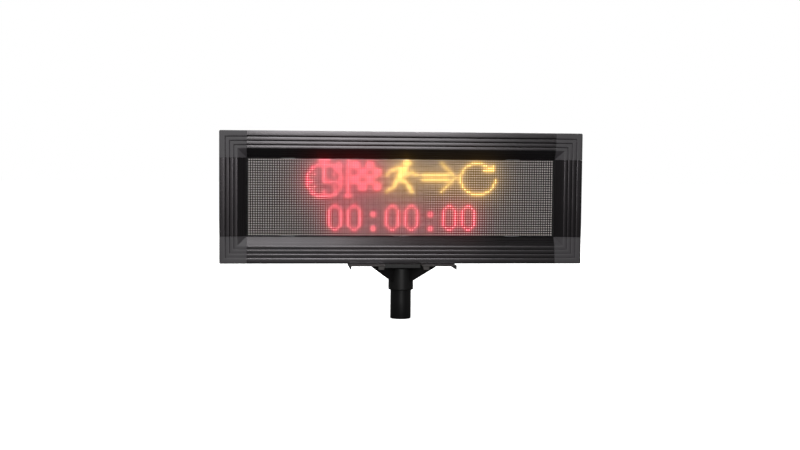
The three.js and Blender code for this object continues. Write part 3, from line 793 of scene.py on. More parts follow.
def anodised(name, colour, rough, along):
    """Satin anodised extrusion: die lines that run along one axis, in shine and in relief, a faint
    cloudiness of the dye, and the lit lamps' spilt light painted on as a faint glow."""
    material, nodes, links = empty_material(name)
    place = nodes.new("ShaderNodeTexCoord")
    place.label = "place on the rail"
    cloud = nodes.new("ShaderNodeTexNoise")
    cloud.label = "cloudy dye"
    cloud.inputs["Scale"].default_value = 9
    cloud.inputs["Detail"].default_value = 3
    tone = nodes.new("ShaderNodeValToRGB")
    tone.label = "dye colour"
    dark, light = tone.color_ramp.elements
    dark.position = 0.3
    dark.color = toned(colour, 0.85)
    light.position = 0.7
    light.color = toned(colour, 1.15)
    stretch = nodes.new("ShaderNodeMapping")
    stretch.label = "drawn out along the rail"
    stretch.inputs["Scale"].default_value = [6 if axis == along else 2600 for axis in "XYZ"]
    lines = nodes.new("ShaderNodeTexNoise")
    lines.label = "die lines"
    lines.inputs["Scale"].default_value = 1
    lines.inputs["Detail"].default_value = 3
    gloss = nodes.new("ShaderNodeMapRange")
    gloss.label = "shine of the lines"
    gloss.inputs["From Min"].default_value = 0.3
    gloss.inputs["From Max"].default_value = 0.7
    gloss.inputs["To Min"].default_value = rough - 0.05
    gloss.inputs["To Max"].default_value = rough + 0.07
    relief = nodes.new("ShaderNodeBump")
    relief.label = "lines in relief"
    relief.inputs["Strength"].default_value = 0.12
    relief.inputs["Distance"].default_value = 0.00003
    shader = nodes.new("ShaderNodeBsdfPrincipled")
    shader.label = "anodised aluminium"
    shader.inputs["Metallic"].default_value = 0.9
    shader.inputs["Emission Strength"].default_value = RAIL_PAINTED_LAMP_LIGHT
    output = nodes.new("ShaderNodeOutputMaterial")
    output.label = "finished rail"
    red = nodes.new("ShaderNodeAttribute")
    red.label = "red light of the lamps"
    red.attribute_name = "spill_red"
    amber = nodes.new("ShaderNodeAttribute")
    amber.label = "amber light of the lamps"
    amber.attribute_name = "spill_amber"
    lamp_light = nodes.new("ShaderNodeCombineColor")
    lamp_light.label = "light the rail throws back"
    amber_green = nodes.new("ShaderNodeMath")
    amber_green.label = "green in the amber"
    amber_green.operation = "MULTIPLY"
    amber_green.inputs[1].default_value = 0.5
    both = nodes.new("ShaderNodeMath")
    both.label = "red in both"
    both.operation = "ADD"
    place_nodes([
        [place, red, amber],
        [cloud, stretch, both, amber_green],
        [tone, lines, lamp_light],
        [gloss, relief],
        [shader],
        [output],
    ])
    groups = {
        "dye": [cloud, tone],
        "die lines": [stretch, lines, gloss, relief],
        "lamp light": [red, amber, both, amber_green, lamp_light],
    }
    for label, members in groups.items():
        box = nodes.new("NodeFrame")
        box.label = label
        for member in members:
            member.parent = box
    links.new(place.outputs["Object"], cloud.inputs["Vector"])
    links.new(cloud.outputs["Fac"], tone.inputs["Fac"])
    links.new(tone.outputs["Color"], shader.inputs["Base Color"])
    links.new(place.outputs["Object"], stretch.inputs["Vector"])
    links.new(stretch.outputs["Vector"], lines.inputs["Vector"])
    links.new(lines.outputs["Fac"], gloss.inputs["Value"])
    links.new(gloss.outputs["Result"], shader.inputs["Roughness"])
    links.new(lines.outputs["Fac"], relief.inputs["Height"])
    links.new(relief.outputs["Normal"], shader.inputs["Normal"])
    links.new(red.outputs["Fac"], both.inputs[0])
    links.new(amber.outputs["Fac"], both.inputs[1])
    links.new(amber.outputs["Fac"], amber_green.inputs[0])
    links.new(both.outputs["Value"], lamp_light.inputs["Red"])
    links.new(amber_green.outputs["Value"], lamp_light.inputs["Green"])
    links.new(lamp_light.outputs["Color"], shader.inputs["Emission Color"])
    links.new(shader.outputs["BSDF"], output.inputs["Surface"])
    return material


front = case_low.y
back = case_high.y
RAIL_WIDTH = 44.7
STEP_ENDS = (9.0, 16.0, 22.9)
STEP = 1.4
BOW = 0.09
EDGE_ROUND = 0.5
FACE_END = 29.4
LIP = -12.7
POCKET = 38.6
WEB_BACK = 6.0
WALL = 2.2
FLANGE = 14.0


def rail_section():
    """Closed section of a rail: distance in from the case's outer edge, and depth. Each band
    of the face is slightly crowned, and the steps between them are rounded."""
    outline = [(0, back)]
    for k in range(5):
        turn = math.radians(180 + 22.5 * k)
        u = EDGE_ROUND * (1 + math.cos(turn))
        outline.append((u, front + BOW + EDGE_ROUND * (1 + math.sin(turn))))
    start = EDGE_ROUND
    level = front
    for end in (*STEP_ENDS, FACE_END):
        for k in range(1, 6):
            crown = level + BOW * (0.4 * k - 1) ** 2
            outline.append((start + (end - start) * k / 5, crown))
        level += STEP
        if end != FACE_END:
            outline.append((end + 0.3, level - STEP + BOW + 0.13))
            outline.append((end + 0.6, level - STEP + BOW + 0.42))
            outline.append((end + STEP - 0.12, level + BOW - 0.12))
            start = end + STEP + 0.1
            outline.append((start, level + BOW))
    level += BOW - STEP
    outline += [
        (FACE_END + 0.5, level + 0.18),
        (RAIL_WIDTH - 1.5, LIP - 0.75),
        (RAIL_WIDTH - 0.7, LIP - 0.2),
        (RAIL_WIDTH - 0.15, LIP + 0.2),
        (RAIL_WIDTH, LIP + 0.5),
        (POCKET, LIP + 0.5),
        (POCKET, WEB_BACK),
        (WALL, WEB_BACK),
        (WALL, back - 3.8),
        (FLANGE, back - 3.8),
        (FLANGE, back - 1.8),
        (WALL, back - 1.8),
        (WALL, back),
    ]
    return outline


def swept(name, rings):
    """A closed body through rings of points with equal counts, capped at both ends."""
    count = len(rings[0])
    corners = [point for ring in rings for point in ring]
    faces = []
    for r in range(len(rings) - 1):
        for i in range(count):
            j = (i + 1) % count
            faces.append((r * count + i, r * count + j, (r + 1) * count + j, (r + 1) * count + i))
    faces.append(tuple(range(count)))
    faces.append(tuple(range(len(corners) - 1, len(corners) - count - 1, -1)))
    mesh = cage(name, corners, faces)
    joined(mesh, 0.000001)
    shade(mesh, 26)
    return mesh


BUTT = 0.25
# The side rails are the same anodised aluminium as the top and bottom ones; their darker colour is painted
# shade.
rail_along_x = anodised("rail_along_x", (0.046, 0.043, 0.045), 0.26, "X")
rail_along_z_painted_shade = anodised("rail_along_z_painted_shade", (0.033, 0.030, 0.032), 0.27, "Z")
section = rail_section()
rail_x = box_mm("rail_top")[1].x + BUTT
left_low, left_high = box_mm("rail_left")
rail_z = (left_high.z - left_low.z) / 2 + BUTT
stations = [rail_x * (k / 32 - 1) for k in range(65)]
for label, edge, inward in (("top", case_high.z, -1), ("bottom", case_low.z, 1)):
    rings = [[(x, depth, edge + inward * u) for u, depth in section] for x in stations]
    name = f"rail_{label}_extrusion"
    mesh = swept(name, rings)
    spill(mesh)
    piece(name, mesh, rail_along_x, "head", [f"rail_{label}"])
for label, edge, inward in (("left", -case_half, 1), ("right", case_half, -1)):
    heights = (case_middle - rail_z, case_middle + rail_z)
    rings = [[(edge + inward * u, depth, z) for u, depth in section] for z in heights]
    name = f"rail_{label}_extrusion"
    piece(name, swept(name, rings), rail_along_z_painted_shade, "head", [f"rail_{label}"])


# ---- Corner pieces ---------------------------------------------------------------------------------
# Moulded dark grey plastic, with the rails' section carried round a mitre, and two tongues that
# push into the rails' chambers. The mould leaves a fine matt grain.
corner_plastic = moulded_plastic("corner_plastic", (0.043, 0.039, 0.043), 0.48, 0.0006, 0.00005)
CORNER = RAIL_WIDTH - 0.15
CORNER_ROUND = 2.2
CORNER_END = CORNER + 0.001
TONGUE_END = CORNER + 24
TONGUES = ((4, 26, 20, TONGUE_END), (20, TONGUE_END, 4, 26))
TONGUE_DEPTHS = (-18, 3.4)


def round_corner(u, turn):
    """Place in from both edges of a point that runs round the block's corner."""
    reach = max(CORNER_ROUND - u, 0)
    middle = max(CORNER_ROUND, u)
    return middle - reach * math.cos(turn), middle - reach * math.sin(turn)


CORNERS = {"top_left": (-1, 1), "top_right": (1, 1), "bottom_left": (-1, -1), "bottom_right": (1, -1)}
for label, (sx, sz) in CORNERS.items():
    z_edge = case_high.z if sz > 0 else case_low.z

    def at(u, depth, v):
        """u in from the side edge, v in from the top or bottom edge."""
        return sx * (case_half - u), depth, z_edge - sz * v

    inner = [(min(u, CORNER), depth) for u, depth in section]
    rings = [[at(u, depth, CORNER_END) for u, depth in inner]]
    for k in range(7):
        turn = math.radians(15 * k)
        bend = [(round_corner(u, turn), depth) for u, depth in inner]
        rings.append([at(a, depth, b) for (a, b), depth in bend])
    rings.append([at(CORNER_END, depth, u) for u, depth in inner])
    name = f"corner_{label}_moulding"
    mesh = swept(name, rings)
    bm = bmesh.new()
    bm.from_mesh(mesh)
    for x0, x1, z0, z1 in TONGUES:
        marks = [at(x, y, z) for x in (x0, x1) for y in TONGUE_DEPTHS for z in (z0, z1)]
        corners = [bm.verts.new(Vector(mark) * MM) for mark in marks]
        bmesh.ops.convex_hull(bm, input=corners)
    bm.to_mesh(mesh)
    bm.free()
    piece(name, mesh, corner_plastic, "head", [f"corner_{label}"])


# ---- Lamp modules: mask and lamps ----------------------------------------------------------------------
# The mask is a black moulding with a square window round every lamp. Each lamp is a white
# package with a round cup of clear resin; the lit ones glow, and light the mask round them.
def lamp_surface(name, colour, rough, glow):
    """A surface of the display: its own colour in slightly uneven steps, and a share, glow,
    of the light that spills on it from the lit lamps."""
    material, nodes, links = empty_material(name)
    place = nodes.new("ShaderNodeTexCoord")
    place.label = "place on the display"
    batch = nodes.new("ShaderNodeTexVoronoi")
    batch.label = "one lamp to the next"
    batch.inputs["Scale"].default_value = 250
    batch.inputs["Randomness"].default_value = 0
    tone = nodes.new("ShaderNodeValToRGB")
    tone.label = "small differences in colour"
    dark, light = tone.color_ramp.elements
    dark.color = toned(colour, 0.88)
    light.color = toned(colour, 1.1)
    split = nodes.new("ShaderNodeSeparateColor")
    split.label = "one random number a lamp"
    dust = nodes.new("ShaderNodeTexNoise")
    dust.label = "fine texture"
    dust.inputs["Scale"].default_value = 1400
    relief = nodes.new("ShaderNodeBump")
    relief.label = "fine relief"
    relief.inputs["Strength"].default_value = 0.3
    relief.inputs["Distance"].default_value = 0.00003
    red = nodes.new("ShaderNodeAttribute")
    red.label = "red spill"
    red.attribute_name = "spill_red"
    amber = nodes.new("ShaderNodeAttribute")
    amber.label = "amber spill"
    amber.attribute_name = "spill_amber"
    red_light = nodes.new("ShaderNodeVectorMath")
    red_light.label = "red light"
    red_light.operation = "SCALE"
    red_light.inputs[0].default_value = (1.0, 0.03, 0.065)
    amber_light = nodes.new("ShaderNodeVectorMath")
    amber_light.label = "amber light"
    amber_light.operation = "SCALE"
    amber_light.inputs[0].default_value = (1.2, 0.66, 0.11)
    both = nodes.new("ShaderNodeVectorMath")
    both.label = "all spilt light"
    both.operation = "ADD"
    shader = nodes.new("ShaderNodeBsdfPrincipled")
    shader.label = "display surface"
    shader.inputs["Roughness"].default_value = rough
    shader.inputs["Emission Strength"].default_value = glow
    output = nodes.new("ShaderNodeOutputMaterial")
    output.label = "finished display surface"
    place_nodes([
        [place, red, amber],
        [batch, dust, red_light, amber_light],
        [split, relief, both],
        [tone],
        [shader],
        [output],
    ])
    groups = {
        "colour": [batch, split, tone],
        "texture": [dust, relief],
        "spilt light": [red, amber, red_light, amber_light, both],
    }
    for label, members in groups.items():
        box = nodes.new("NodeFrame")
        box.label = label
        for member in members:
            member.parent = box
    links.new(place.outputs["Object"], batch.inputs["Vector"])
    links.new(batch.outputs["Color"], split.inputs["Color"])
    links.new(split.outputs["Red"], tone.inputs["Fac"])
    links.new(tone.outputs["Color"], shader.inputs["Base Color"])
    links.new(place.outputs["Object"], dust.inputs["Vector"])
    links.new(dust.outputs["Fac"], relief.inputs["Height"])
    links.new(relief.outputs["Normal"], shader.inputs["Normal"])
    links.new(red.outputs["Fac"], red_light.inputs["Scale"])
    links.new(amber.outputs["Fac"], amber_light.inputs["Scale"])
    links.new(red_light.outputs["Vector"], both.inputs[0])
    links.new(amber_light.outputs["Vector"], both.inputs[1])
    links.new(both.outputs["Vector"], shader.inputs["Emission Color"])
    links.new(shader.outputs["BSDF"], output.inputs["Surface"])
    return material


def lit_lamp(name, core, edge, strength):
    """A lit lamp: nearly white in the middle of the cup and its own colour at the rim."""
    material, nodes, links = empty_material(name)
    rim = nodes.new("ShaderNodeAttribute")
    rim.label = "from the cup's middle to its rim"
    rim.attribute_name = "rim"
    tone = nodes.new("ShaderNodeValToRGB")
    tone.label = "core and edge of the light"
    middle, outside = tone.color_ramp.elements
    middle.position = 0.15
    middle.color = (*core, 1)
    outside.position = 0.95
    outside.color = (*edge, 1)
    shader = nodes.new("ShaderNodeBsdfPrincipled")
    shader.label = "lit resin"
    shader.inputs["Base Color"].default_value = (0.5, 0.5, 0.48, 1)
    shader.inputs["Roughness"].default_value = 0.25
    shader.inputs["Emission Strength"].default_value = strength
    output = nodes.new("ShaderNodeOutputMaterial")
    output.label = "finished lamp"
    place_nodes([[rim], [tone], [shader], [output]])
    box = nodes.new("NodeFrame")
    box.label = "light"
    for member in (rim, tone):
        member.parent = box
    links.new(rim.outputs["Fac"], tone.inputs["Fac"])
    links.new(tone.outputs["Color"], shader.inputs["Emission Color"])
    links.new(shader.outputs["BSDF"], output.inputs["Surface"])
    return material


mask_black = lamp_surface("mask_black", (0.006, 0.003, 0.002), 0.75, 0.235)
lamp_white = lamp_surface("lamp_white", (0.95, 0.84, 0.82), 0.35, 0.28)
lamp_red = lit_lamp("lamp_red", (1.0, 0.46, 0.51), (1.0, 0.07, 0.12), 3.4)
lamp_amber = lit_lamp("lamp_amber", (1.0, 0.86, 0.45), (1.0, 0.60, 0.12), 3.0)

mask_front, mask_back = (corner.y for corner in box_mm("led_mask_left"))
MASK_GAP = 0.15
WINDOW_HALF = 1.25
WINDOW_DEPTH = 0.9
LAMP_HALF = 0.88
LAMP_EDGE = 0.1
LAMP_SINK = 0.3
CUP_RADIUS = 0.72
CUP_FLOOR = 0.7 * CUP_RADIUS
CUP_DEPTH = 0.22
turns = [math.radians(45 * k + 22.5) for k in range(8)]
OCTAGON = [(math.cos(turn), math.sin(turn)) for turn in turns]


def about_lamp(row, column, shape, size, depth):
    """The points of a shape of the given size round a lamp's middle, at one depth."""
    x, z = lamp_centre(row, column)
    return [(x + a * size, depth, z + b * size) for a, b in shape]


def module_mask(name, first_column):
    """One module's mask, with a square pocket round every lamp."""
    columns = COLUMNS // 2
    wide = columns + 1
    half = PITCH / 2
    points = []
    faces = []
    x_first, z_first = lamp_centre(0, first_column)

    def grid(row, column):
        x = x_first - half + column * PITCH
        z = z_first + half - row * PITCH
        x += MASK_GAP * ((column == 0) - (column == columns))
        z -= MASK_GAP * ((row == 0) - (row == ROWS))
        return x, z

    for row in range(ROWS + 1):
        for column in range(wide):
            x, z = grid(row, column)
            points.append((x, mask_front, z))
    for row in range(ROWS):
        for column in range(columns):
            base = len(points)
            for depth in (mask_front, mask_front + WINDOW_DEPTH):
                points += about_lamp(row, first_column + column, SQUARE, WINDOW_HALF, depth)
            first = row * wide + column
            outer = [first + 1, first, first + wide, first + wide + 1]
            for k in range(4):
                n = (k + 1) % 4
                faces.append((outer[k], outer[n], base + n, base + k))
                faces.append((base + k, base + n, base + 4 + n, base + 4 + k))
            faces.append((base + 4, base + 5, base + 6, base + 7))
    rear = len(points)
    for row, column in ((0, 0), (0, columns), (ROWS, columns), (ROWS, 0)):
        x, z = grid(row, column)
        points.append((x, mask_back, z))
    last = ROWS * wide
    top = list(range(wide))
    bottom = list(range(last, last + wide))
    left = list(range(0, last + 1, wide))
    right = list(range(columns, last + wide, wide))
    faces.append(tuple(top + [rear + 1, rear]))
    faces.append(tuple(bottom + [rear + 2, rear + 3]))
    faces.append(tuple(left + [rear + 3, rear]))
    faces.append(tuple(right + [rear + 2, rear + 1]))
    faces.append((rear, rear + 1, rear + 2, rear + 3))
    return cage(name, points, faces)


def lamps(name, places):
    """Lamp packages at the given rows and columns: a square body with an eight-sided cup."""
    points = []
    faces = []
    rims = []
    top = mask_front + LAMP_SINK
    foot = mask_front + WINDOW_DEPTH - 0.02
    for row, column in sorted(places):
        base = len(points)
        points += about_lamp(row, column, SQUARE, LAMP_HALF, foot)
        points += about_lamp(row, column, SQUARE, LAMP_HALF, top + LAMP_EDGE)
        points += about_lamp(row, column, SQUARE, LAMP_HALF - LAMP_EDGE, top)
        points += about_lamp(row, column, OCTAGON, CUP_RADIUS, top)
        points += about_lamp(row, column, OCTAGON, CUP_FLOOR, top + CUP_DEPTH)
        points += about_lamp(row, column, [(0, 0)], 0, top + CUP_DEPTH)
        rims += [1.0] * 12 + [0.75] * 8 + [0.3] * 8 + [0.0]
        for k in range(4):
            n = (k + 1) % 4
            faces.append((base + k, base + n, base + 4 + n, base + 4 + k))
            faces.append((base + 4 + k, base + 4 + n, base + 8 + n, base + 8 + k))
            near = base + 12 + 2 * k
            far = base + 12 + (2 * k + 2) % 8
            faces.append((base + 8 + k, near + 1, near))
            faces.append((base + 8 + k, base + 8 + n, far, near + 1))
        for k in range(8):
            n = (k + 1) % 8
            faces.append((base + 12 + k, base + 12 + n, base + 20 + n, base + 20 + k))
            faces.append((base + 20 + k, base + 20 + n, base + 28))
        faces.append((base + 3, base + 2, base + 1, base))
    mesh = cage(name, points, faces)
    store = mesh.attributes.new("rim", "FLOAT", "POINT")
    store.data.foreach_set("value", rims)
    return mesh


for label, first in (("left", 0), ("right", COLUMNS // 2)):
    mask = module_mask(f"mask_{label}", first)
    spill(mask)
    piece(f"mask_{label}", mask, mask_black, "head", [f"led_mask_{label}"])
    unlit = [
        (row, column)
        for row in range(ROWS)
        for column in range(first, first + COLUMNS // 2)
        if (row, column) not in lit["red"] and (row, column) not in lit["amber"]
    ]
    off = lamps(f"lamps_off_{label}", unlit)
    spill(off)
    piece(f"lamps_off_{label}", off, lamp_white, "head")
piece("lamps_red", lamps("lamps_red", lit["red"]), lamp_red, "head")
piece("lamps_amber", lamps("lamps_amber", lit["amber"]), lamp_amber, "head")


# ---- Window and its seal --------------------------------------------------------------------------
# A clear acrylic sheet, cut to a rectangle and laid behind the reveal's lip. A black foam strip
# round its back presses it against the rails.
def clear_sheet(name):
    """Clear sheet: what is behind shows through, and the surface mirrors a little, more so
    at a slant, with faint smears from wiping."""
    material, nodes, links = empty_material(name)
    place = nodes.new("ShaderNodeTexCoord")
    place.label = "place on the sheet"
    smear = nodes.new("ShaderNodeTexNoise")
    smear.label = "smears from wiping"
    smear.inputs["Scale"].default_value = 12
    smear.inputs["Distortion"].default_value = 0.8
    gloss = nodes.new("ShaderNodeMapRange")
    gloss.label = "shine under the smears"
    gloss.inputs["From Min"].default_value = 0.4
    gloss.inputs["From Max"].default_value = 0.7
    gloss.inputs["To Min"].default_value = 0.04
    gloss.inputs["To Max"].default_value = 0.10
    slant = nodes.new("ShaderNodeLayerWeight")
    slant.label = "how far the sheet is turned away"
    slant.inputs["Blend"].default_value = 0.5
    steep = nodes.new("ShaderNodeMath")
    steep.label = "mirrors only at a slant"
    steep.operation = "POWER"
    steep.inputs[1].default_value = 5
    share = nodes.new("ShaderNodeMath")
    share.label = "share that the face mirrors"
    share.operation = "MULTIPLY_ADD"
    share.inputs[1].default_value = 0.9
    share.inputs[2].default_value = 0.024
    through = nodes.new("ShaderNodeBsdfTransparent")
    through.label = "what shows through"
    through.inputs["Color"].default_value = (0.97, 0.975, 0.975, 1)
    mirror = nodes.new("ShaderNodeBsdfGlossy")
    mirror.label = "polished face"
    mirror.inputs["Color"].default_value = (1, 1, 1, 1)
    mix = nodes.new("ShaderNodeMixShader")
    mix.label = "clear sheet"
    output = nodes.new("ShaderNodeOutputMaterial")
    output.label = "finished sheet"
    place_nodes([[place, slant], [smear, steep], [gloss, share], [through, mirror], [mix], [output]])
    groups = {"shine": [smear, gloss, mirror], "slant": [slant, steep, share]}
    for label, members in groups.items():
        box = nodes.new("NodeFrame")
        box.label = label
        for member in members:
            member.parent = box
    links.new(place.outputs["Object"], smear.inputs["Vector"])
    links.new(smear.outputs["Fac"], gloss.inputs["Value"])
    links.new(gloss.outputs["Result"], mirror.inputs["Roughness"])
    links.new(slant.outputs["Facing"], steep.inputs[0])
    links.new(steep.outputs["Value"], share.inputs[0])
    links.new(share.outputs["Value"], mix.inputs["Fac"])
    links.new(through.outputs["BSDF"], mix.inputs[1])
    links.new(mirror.outputs["BSDF"], mix.inputs[2])
    links.new(mix.outputs["Shader"], output.inputs["Surface"])
    return material


clear_acrylic = clear_sheet("clear_acrylic")
foam = moulded_plastic("foam", (0.012, 0.012, 0.012), 0.9, 0.0007, 0.0002)
sheet_low, sheet_high = box_mm("front_window")
window_outline = box_outline(sheet_low.x, sheet_high.x, sheet_low.z, sheet_high.z)
window_mesh = prism("window_sheet", window_outline, side_on, sheet_low.y, sheet_high.y)
window = piece("window_sheet", window_mesh, clear_acrylic, "head", ["front_window"])
bevelled(window, 0.2, 2)
keep(["window_seal"], foam)


# ---- Clamp -----------------------------------------------------------------------------------------
# A five-lobed moulded knob on a plated screw, which runs in a brass insert in the casting's
# boss. The screw, the insert and the tray's bolts and nuts keep their CAD shapes, in new metal.
def bare_metal(name, colour, rough, grain, streak):
    """Plated or bare metal: fine tool lines stretched along one axis by the given vector,
    clouds of dulling, and a colour that shifts slightly with them."""
    material, nodes, links = empty_material(name)
    place = nodes.new("ShaderNodeTexCoord")
    place.label = "place on the piece"
    stretch = nodes.new("ShaderNodeMapping")
    stretch.label = "tool lines run one way"
    stretch.inputs["Scale"].default_value = streak
    lines = nodes.new("ShaderNodeTexNoise")
    lines.label = "tool lines"
    lines.inputs["Scale"].default_value = 1 / grain
    lines.inputs["Detail"].default_value = 3
    clouds = nodes.new("ShaderNodeTexNoise")
    clouds.label = "clouds of dulling"
    clouds.inputs["Scale"].default_value = 90
    clouds.inputs["Detail"].default_value = 5
    tone = nodes.new("ShaderNodeValToRGB")
    tone.label = "metal colour"
    dark, light = tone.color_ramp.elements
    dark.position = 0.3
    dark.color = toned(colour, 0.78)
    light.position = 0.7
    light.color = toned(colour, 1)
    gloss = nodes.new("ShaderNodeMapRange")
    gloss.label = "duller in the clouds"
    gloss.inputs["From Min"].default_value = 0.3
    gloss.inputs["From Max"].default_value = 0.7
    gloss.inputs["To Min"].default_value = rough + 0.12
    gloss.inputs["To Max"].default_value = rough - 0.05
    relief = nodes.new("ShaderNodeBump")
    relief.label = "lines' relief"
    relief.inputs["Strength"].default_value = 0.25
    relief.inputs["Distance"].default_value = 0.00001
    shader = nodes.new("ShaderNodeBsdfPrincipled")
    shader.label = "metal"
    shader.inputs["Metallic"].default_value = 1
    output = nodes.new("ShaderNodeOutputMaterial")
    output.label = "finished metal"
    place_nodes([[place], [stretch, clouds], [lines, tone, gloss], [relief], [shader], [output]])
    groups = {"tool lines": [stretch, lines, relief], "dulling": [clouds, tone, gloss]}
    for label, members in groups.items():
        box = nodes.new("NodeFrame")
        box.label = label
        for member in members:
            member.parent = box
    links.new(place.outputs["Object"], stretch.inputs["Vector"])
    links.new(stretch.outputs["Vector"], lines.inputs["Vector"])
    links.new(lines.outputs["Fac"], relief.inputs["Height"])
    links.new(relief.outputs["Normal"], shader.inputs["Normal"])
    links.new(place.outputs["Object"], clouds.inputs["Vector"])
    links.new(clouds.outputs["Fac"], tone.inputs["Fac"])
    links.new(tone.outputs["Color"], shader.inputs["Base Color"])
    links.new(clouds.outputs["Fac"], gloss.inputs["Value"])
    links.new(gloss.outputs["Result"], shader.inputs["Roughness"])
    links.new(shader.outputs["BSDF"], output.inputs["Surface"])
    return material


zinc = bare_metal("zinc", (0.62, 0.63, 0.65), 0.32, 0.0006, (1, 1, 1))
brass = bare_metal("brass", (0.80, 0.58, 0.25), 0.28, 0.0005, (1, 0.2, 1))
knob_plastic = moulded_plastic("knob_plastic", (0.018, 0.018, 0.018), 0.36, 0.0009, 0.00003)
LOBES = 5
LOBE_CENTRE = 10.0
LOBE_RADIUS = 4.9
KNOB_CORE = 10.6
KNOB_POINTS = 120
BLEND = 14
knob_front = knob_low.y
knob_back = knob_high.y


def knob_loop(depth, lobed, plain=0.0):
    """A loop about the screw's axis: the lobed outline times lobed, plus a plain radius."""
    loop = []
    for k in range(KNOB_POINTS):
        angle = 2 * math.pi * k / KNOB_POINTS
        off = (angle + math.pi / LOBES) % (2 * math.pi / LOBES) - math.pi / LOBES
        bulge = max(LOBE_RADIUS**2 - (LOBE_CENTRE * math.sin(off)) ** 2, 0)
        lobe = LOBE_CENTRE * math.cos(off) + math.sqrt(bulge)
        radius = lobed * (lobe**BLEND + KNOB_CORE**BLEND) ** (1 / BLEND) + plain
        loop.append((radius * math.sin(angle), depth, knob_height + radius * math.cos(angle)))
    return loop


knob_rows = [
    (knob_front + 0.1, 0, 7.0),
    (knob_front + 0.5, 0, 7.4),
    (knob_front + 4.6, 0, 7.4),
    (knob_front + 5.0, 0.2, 6.0),
    (knob_front + 5.1, 0.9),
    (knob_front + 5.5, 0.97),
    (knob_front + 6.4, 1.0),
    (knob_back - 1.7, 1.0),
    (knob_back - 0.8, 0.975),
    (knob_back - 0.2, 0.92),
    (knob_back, 0.86),
    (knob_back, 0, 6.6),
    (knob_back - 0.3, 0, 6.3),
    (knob_back - 0.9, 0, 6.2),
    (knob_back - 1.0, 0, 3.0),
]
knob_mesh = swept("knob", [knob_loop(*row) for row in knob_rows])
piece("knob", knob_mesh, knob_plastic, "clamp", ["clamp_knob"])
keep(["clamp_screw"], zinc)
keep(["clamp_insert"], brass)
keep([f"tray_bolt_{i}" for i in range(1, 5)] + [f"tray_nut_{i}" for i in range(1, 5)], zinc)


# ---- Boards, frames and bars -------------------------------------------------------------------------
# Glass-fibre boards with green resist carry the lamps, each with two ribbon sockets and a power
# socket soldered on its back. Moulded frames hold them, and three plated bars hold the frames.
def circuit_board(name):
    """Green resist over copper: a net of tracks, the weave of the cloth, and a wet shine."""
    material, nodes, links = empty_material(name)
    place = nodes.new("ShaderNodeTexCoord")
    place.label = "place on the board"
    flat = nodes.new("ShaderNodeMapping")
    flat.label = "the board's own plane"
    flat.inputs["Rotation"].default_value = (math.radians(90), 0, 0)
    tracks = nodes.new("ShaderNodeTexBrick")
    tracks.label = "tracks under the resist"
    tracks.inputs["Scale"].default_value = 100
    tracks.inputs["Color1"].default_value = (0.008, 0.075, 0.032, 1)
    tracks.inputs["Color2"].default_value = (0.010, 0.090, 0.038, 1)
    tracks.inputs["Mortar"].default_value = (0.030, 0.170, 0.070, 1)
    tracks.inputs["Mortar Size"].default_value = 0.035
    tracks.inputs["Brick Width"].default_value = 0.9
    tracks.inputs["Row Height"].default_value = 0.25
    weave = nodes.new("ShaderNodeTexNoise")
    weave.label = "weave of the cloth"
    weave.inputs["Scale"].default_value = 1400
    relief = nodes.new("ShaderNodeBump")
    relief.label = "tracks' relief"
    relief.invert = True
    relief.inputs["Strength"].default_value = 0.4
    relief.inputs["Distance"].default_value = 0.00003
    gloss = nodes.new("ShaderNodeMapRange")
    gloss.label = "shine over the weave"
    gloss.inputs["To Min"].default_value = 0.22
    gloss.inputs["To Max"].default_value = 0.42
    shader = nodes.new("ShaderNodeBsdfPrincipled")
    shader.label = "solder resist"
    output = nodes.new("ShaderNodeOutputMaterial")
    output.label = "finished board"
    place_nodes([[place], [flat, weave], [tracks, gloss], [relief], [shader], [output]])
    groups = {"tracks": [flat, tracks, relief], "cloth": [weave, gloss]}
    for label, members in groups.items():
        box = nodes.new("NodeFrame")
        box.label = label
        for member in members:
            member.parent = box
    links.new(place.outputs["Object"], flat.inputs["Vector"])
    links.new(flat.outputs["Vector"], tracks.inputs["Vector"])
    links.new(tracks.outputs["Color"], shader.inputs["Base Color"])
    links.new(tracks.outputs["Fac"], relief.inputs["Height"])
    links.new(relief.outputs["Normal"], shader.inputs["Normal"])
    links.new(place.outputs["Object"], weave.inputs["Vector"])
    links.new(weave.outputs["Fac"], gloss.inputs["Value"])
    links.new(gloss.outputs["Result"], shader.inputs["Roughness"])
    links.new(shader.outputs["BSDF"], output.inputs["Surface"])
    return material


def boxes(name, extents):
    """Separate blocks in one cage; each extent is x, y and z from and to, in millimetres."""
    sides = ((0, 1, 3, 2), (4, 6, 7, 5), (0, 4, 5, 1), (2, 3, 7, 6), (0, 2, 6, 4), (1, 5, 7, 3))
    corners = []
    faces = []
    for x0, x1, y0, y1, z0, z1 in extents:
        base = len(corners)
        corners += [(x, y, z) for x in (x0, x1) for y in (y0, y1) for z in (z0, z1)]
        faces += [tuple(base + corner for corner in side) for side in sides]
    return cage(name, corners, faces)


BOARD_THICK = 1.6
board_green = circuit_board("board_green")


def sheet_of_board(name, node, width):
    """A board's bare sheet, at the front of its CAD node's box, with bevelled edges."""
    low, high = box_mm(node)
    mesh = boxes(name, [(low.x, high.x, low.y, low.y + BOARD_THICK, low.z, high.z)])
    bevelled(piece(name, mesh, board_green, "head", [node]), width, 2)


